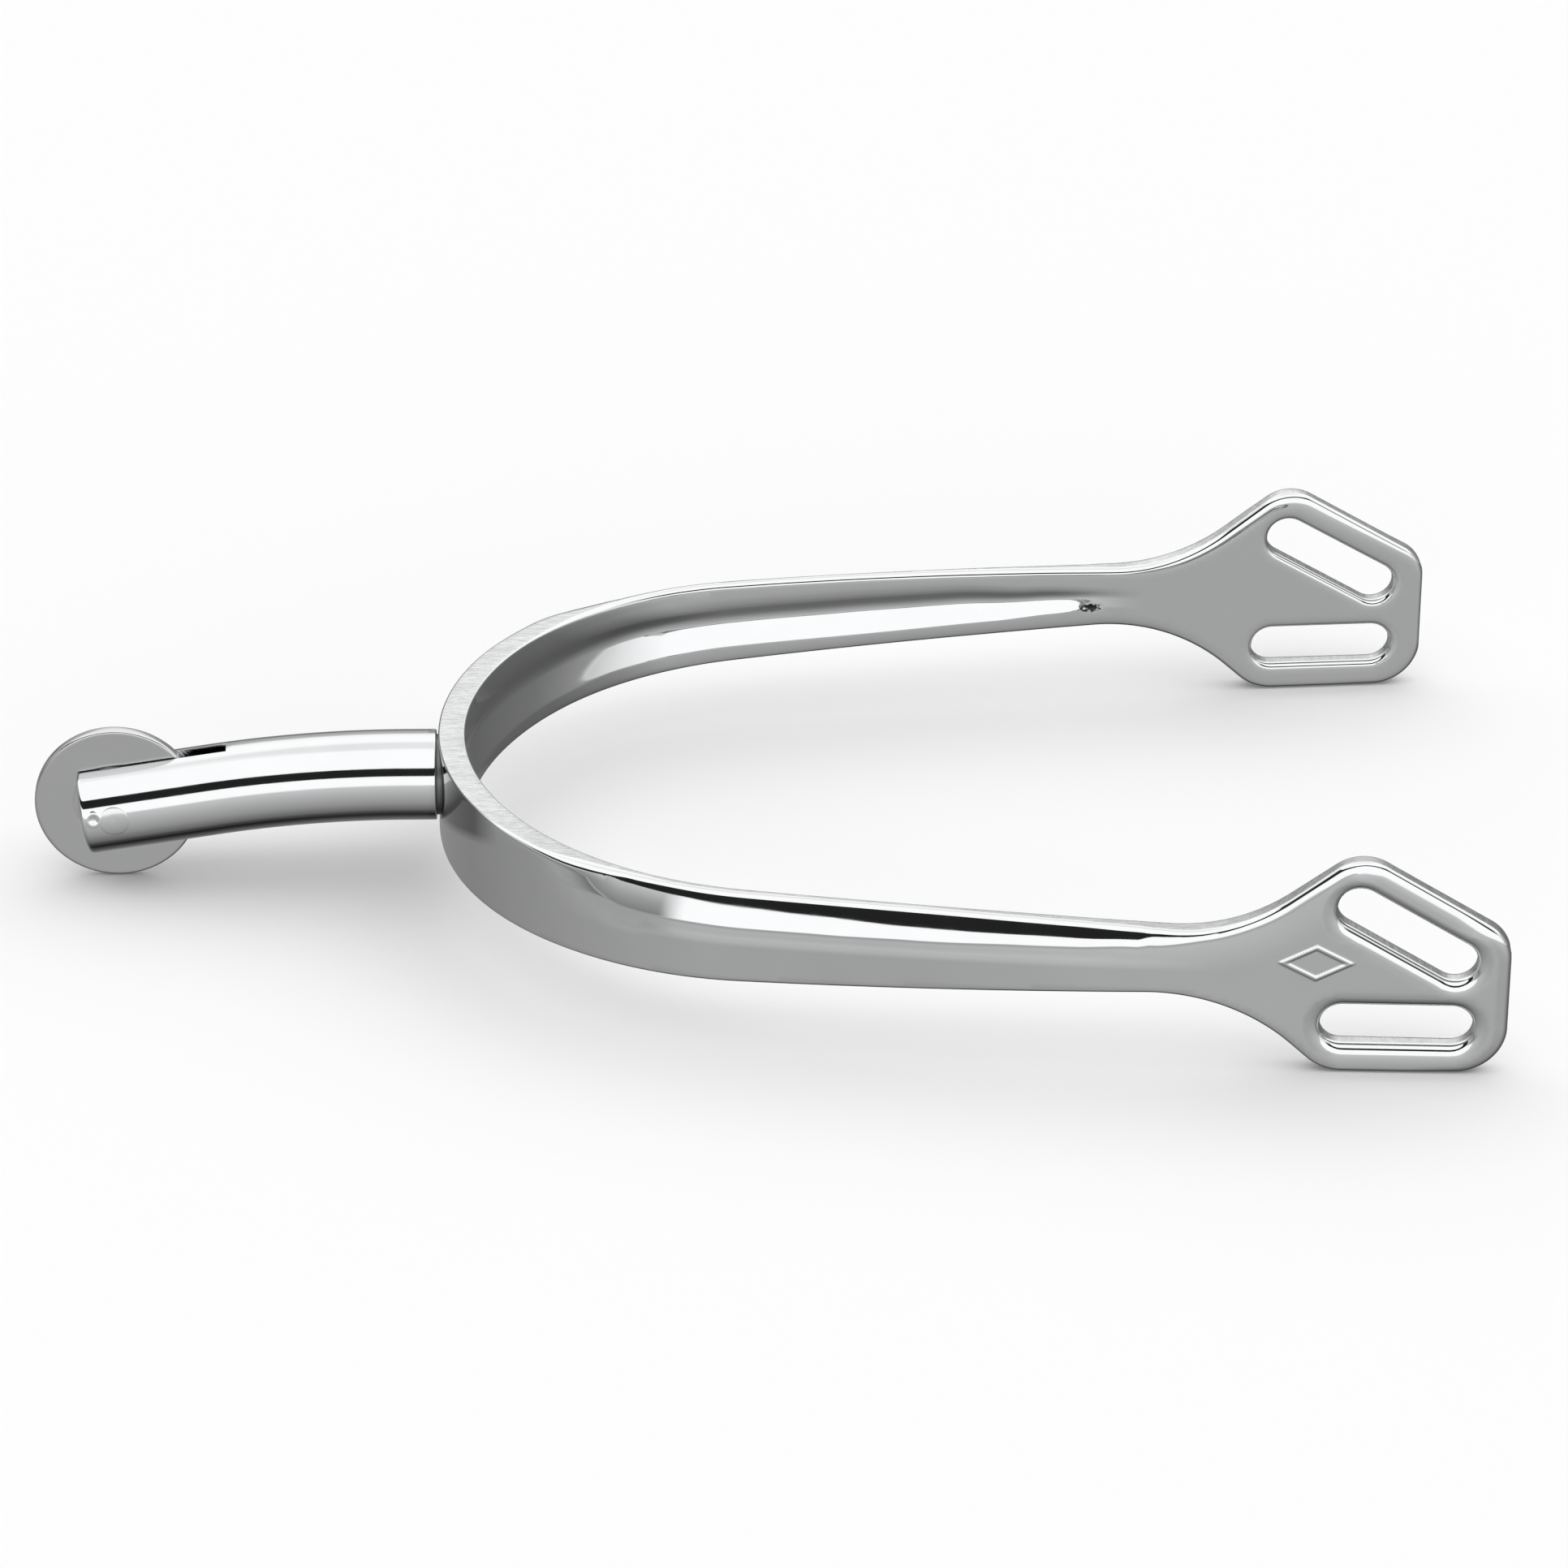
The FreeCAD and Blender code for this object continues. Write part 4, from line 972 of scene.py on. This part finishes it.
def band_painted_shade(n, spot):
    """Painted dark reflection of the neck beside its joint, and painted shade in the two pits."""
    x, y, z = n.add("SeparateXYZ", {0: spot}).outputs[:3]
    away = n.math("ABSOLUTE", y)
    across = n.math("SUBTRACT", x, (HEEL_X + HEEL_RADIUS) * MM)
    radius = n.math("SQRT", n.math("ADD", n.math("MULTIPLY", across, across),
                                   n.math("MULTIPLY", y, y)))
    outer = remap(n, radius, (HEEL_RADIUS - 1.3) * MM, (HEEL_RADIUS - 0.9) * MM, 0.0, 1.0)
    lower_line = n.math("ADD", 6.7 * MM, n.math("MULTIPLY", away, 0.345))
    above = remap(n, n.math("SUBTRACT", z, lower_line), -0.5 * MM, 0.6 * MM, 0.0, 1.0)
    beside = remap(n, away, 15.6 * MM, 19.4 * MM, 1.0, 0.0)
    # Painted reflection: the heel's outside beside the neck's joint is painted darker where the
    # neck's dark reflection falls.
    neck_reflection_shade = n.math("MULTIPLY", outer, n.math("MULTIPLY", above, beside))
    neck_reflection_shade = n.math("MULTIPLY", neck_reflection_shade, remap(n, away, 1.0 * MM, 9.0 * MM, 0.5, 0.68))
    # Painted shade: the two pits are painted nearly black.
    along = n.math("DIVIDE", n.math("SUBTRACT", x, (HEEL_X + PIT_U) * MM), 1.05 * MM)
    up = n.math("DIVIDE", n.math("SUBTRACT", z, PIT_Z * MM), 0.4 * MM)
    reach = n.math("ADD", n.math("MULTIPLY", along, along), n.math("MULTIPLY", up, up))
    reach = n.math("ADD", reach, remap(n, noise(n, spot, 3300.0, 2.0), 0.3, 0.7, -0.7, 0.7))
    pit = n.math("MULTIPLY", remap(n, reach, 0.7, 1.1, 1.0, 0.0),
                 remap(n, away, 37.6 * MM, 38.0 * MM, 1.0, 0.0))
    return n.math("MULTIPLY", n.math("SUBTRACT", 1.0, neck_reflection_shade),
                  n.math("SUBTRACT", 1.0, n.math("MULTIPLY", pit, 0.95)))


def side_painted_shade(n, spot):
    """Painted shade: the ground edge is painted a little darker on the branch at y < 0."""
    return remap(n, n.add("SeparateXYZ", {0: spot}).outputs[1], -0.036, -0.015, 0.76, 1.0)


# The band's polished steel carries the painted reflection beside the neck and the painted shade in
# the pits.
polished = steel("polished_steel_finish", shade=band_painted_shade)
# The ground edge carries the painted shade on the branch at y < 0.
ground = steel("ground_steel_finish", shade=side_painted_shade, grain=(0.25, 1.0, 1.0), grain_bump=0.025,
               rough=(0.2, 0.3), tint=1.03)
cut = steel("cut_slot_finish", grain=(1.0, 0.25, 1.0), grain_bump=0.02, rough=(0.22, 0.32),
            tint=0.86)
bar_polish = steel("polished_bar_finish")
turned_steel = steel("turned_steel_finish", rough=(0.16, 0.26), tint=0.89,
                     rings=tuple(ROWEL))
dressed = steel("dressed_pin_finish", rough=(0.1, 0.2), tint=0.98)
# Painted shade: the seat's steel is painted very dark, standing in for the shadow in the seam round
# the neck's joint.
joint = steel("seat_painted_shade", rough=(0.3, 0.45), tint=0.3)
riveted = steel("riveted_stud_finish", rough=(0.2, 0.3), tint=0.95)

band.data.materials.append(polished)
band.data.materials.append(ground)
band.data.materials.append(cut)
neck.data.materials.append(bar_polish)
seat.data.materials.append(joint)
rowel.data.materials.append(turned_steel)
pin.data.materials.append(dressed)
stud.data.materials.append(riveted)


# ---------------------------------------------------------------------------------------------
# Floor, studio light and camera
# ---------------------------------------------------------------------------------------------
floor_mesh = bpy.data.meshes.new("floor")
floor_mesh.from_pydata([(-4, -4, 0), (4, -4, 0), (4, 4, 0), (-4, 4, 0)], [], [(0, 1, 2, 3)])
floor = bpy.data.objects.new("floor", floor_mesh)
bpy.context.scene.collection.objects.link(floor)
floor.location.z = -0.0001
floor.visible_glossy = False
paper = bpy.data.materials.new("paper")
paper.use_nodes = True
n = Nodes(paper.node_tree)
shader = n.add("BsdfPrincipled", {"Base Color": (0.93, 0.93, 0.93, 1), "Roughness": 0.9,
                                  "Specular IOR Level": 0.0})
n.add("OutputMaterial", {"Surface": shader.outputs[0]})
floor_mesh.materials.append(paper)

# The studio: a white tent over the part, with a dark slot for the lens at the front, and a
# pale table round it that falls off to dark under the part.
WHITE = 1.38
world = bpy.data.worlds.new("studio")
bpy.context.scene.world = world
world.use_nodes = True
n = Nodes(world.node_tree)
direction = n.add("TexCoord").outputs["Generated"]
parts = n.add("SeparateXYZ", {0: direction}).outputs
elevation = n.math("MULTIPLY", n.math("ARCSINE", parts[2]), 180 / math.pi)
azimuth = n.math("MULTIPLY", n.math("ARCTAN2", parts[0], n.math("MULTIPLY", parts[1], -1.0)),
                 180 / math.pi)
level = remap(n, elevation, -90.0, 90.0, 0.0, 1.0)
turn = remap(n, azimuth, -180.0, 180.0, 0.0, 1.0)


def by_level(*stops):
    """Grey levels at elevations in degrees."""
    return n.ramp(level, *(((degrees + 90) / 180, grey) for degrees, grey in stops))


def by_turn(*stops):
    """Grey levels at azimuths in degrees, 0 being the camera's side and 90 the plates'."""
    return n.ramp(turn, *(((degrees + 180) / 360, grey) for degrees, grey in stops))


def but(value):
    return n.math("SUBTRACT", 1.0, value)


def dimmed(light, *shares):
    """The light without the part that the shares make when multiplied."""
    part = shares[-1]
    for share in shares[-2::-1]:
        part = n.math("MULTIPLY", share, part)
    return n.math("MULTIPLY", light, but(part))


sky = by_level((-90, 0.03), (-80, 0.06), (-73, 0.13), (-61, 0.2), (-50, 0.28), (-40, 0.33),
               (-30, 0.385), (-20, 0.44), (-10, 0.51), (-2, 0.57), (1.5, 1.0), (90, 1.0))
below = remap(n, elevation, -1.0, 1.5, 1.0, 0.0)
# The table is darker at the sides and behind.
table = by_turn((-180, 0.55), (-130, 0.55), (-93, 0.7), (-62, 0.82), (-30, 0.91), (-12, 0.91),
                (-6, 1.0), (3, 1.0), (8, 0.9), (45, 0.9), (70, 0.52), (95, 0.32), (140, 0.26),
                (180, 0.5))
sky = dimmed(sky, below, but(table))
# So is the tent just above it.
low_tent = by_level((0, 0.0), (1.5, 1.0), (12, 0.84), (22, 0.6), (28, 0.0))
tent = by_turn((-180, 0.45), (-90, 0.3), (-42, 0.2), (-36, 1.0), (42, 1.0), (60, 0.74),
               (80, 0.34), (100, 0.25), (180, 0.25))
sky = dimmed(sky, low_tent, but(tent))
# The seam between table and tent, on the neck's side.
sky = dimmed(sky, by_turn((-180, 1.0), (-46, 1.0), (-38, 0.0)),
             by_level((-22, 0.0), (-12, 0.24), (-5, 0.5), (-1, 0.68), (1.2, 0.3), (2.0, 0.0)))
# A little less light from behind.
sky = dimmed(sky, by_turn((-180, 1.0), (-140, 1.0), (-100, 0.0), (100, 0.0), (140, 1.0),
                          (180, 1.0)),
             by_level((20, 0.3), (28, 0.08), (38, 0.0), (58, 0.0), (66, 0.2), (80, 0.2),
                      (87, 0.0)),
             but(below))
# The slot for the lens.
sky = dimmed(sky, by_turn((-115, 0.0), (-88, 1.0), (50, 1.0), (75, 0.0)),
             by_level((22.7, 0.0), (23.4, 1.0), (42.6, 1.0), (43.6, 0.0)), 0.985)
back = n.add("Background", {"Color": n.math("MULTIPLY", sky, WHITE), "Strength": 1.0})
n.add("OutputWorld", {"Surface": back.outputs[0]})

bpy.context.scene.view_settings.view_transform = "Standard"
bpy.context.scene.view_settings.look = "None"

CAMERA_TURN = -0.0300412
CAMERA_RISE = 0.4927245
CAMERA_ROLL = 0.0083338
CAMERA_DISTANCE = 703.168
CAMERA_TARGET = Vector((3.318, 0.0, 9.407))
CAMERA_LENS = 164.306497
CAMERA_SENSOR = 36.0
back_way = Vector((math.sin(CAMERA_TURN) * math.cos(CAMERA_RISE),
                   -math.cos(CAMERA_TURN) * math.cos(CAMERA_RISE), math.sin(CAMERA_RISE)))
right = (-back_way).cross(Vector((0, 0, 1))).normalized()
upward = right.cross(-back_way)
rolled_right = math.cos(CAMERA_ROLL) * right + math.sin(CAMERA_ROLL) * upward
rolled_up = -math.sin(CAMERA_ROLL) * right + math.cos(CAMERA_ROLL) * upward
camera_data = bpy.data.cameras.new("camera")
camera = bpy.data.objects.new("camera", camera_data)
bpy.context.scene.collection.objects.link(camera)
camera_data.sensor_width = CAMERA_SENSOR
camera_data.lens = CAMERA_LENS
camera_data.clip_start = 0.01
camera_data.clip_end = 20.0
place = (CAMERA_TARGET + back_way * CAMERA_DISTANCE) * MM
camera.matrix_world = Matrix((
    (rolled_right.x, rolled_up.x, back_way.x, place.x),
    (rolled_right.y, rolled_up.y, back_way.y, place.y),
    (rolled_right.z, rolled_up.z, back_way.z, place.z),
    (0, 0, 0, 1)))
bpy.context.scene.camera = camera
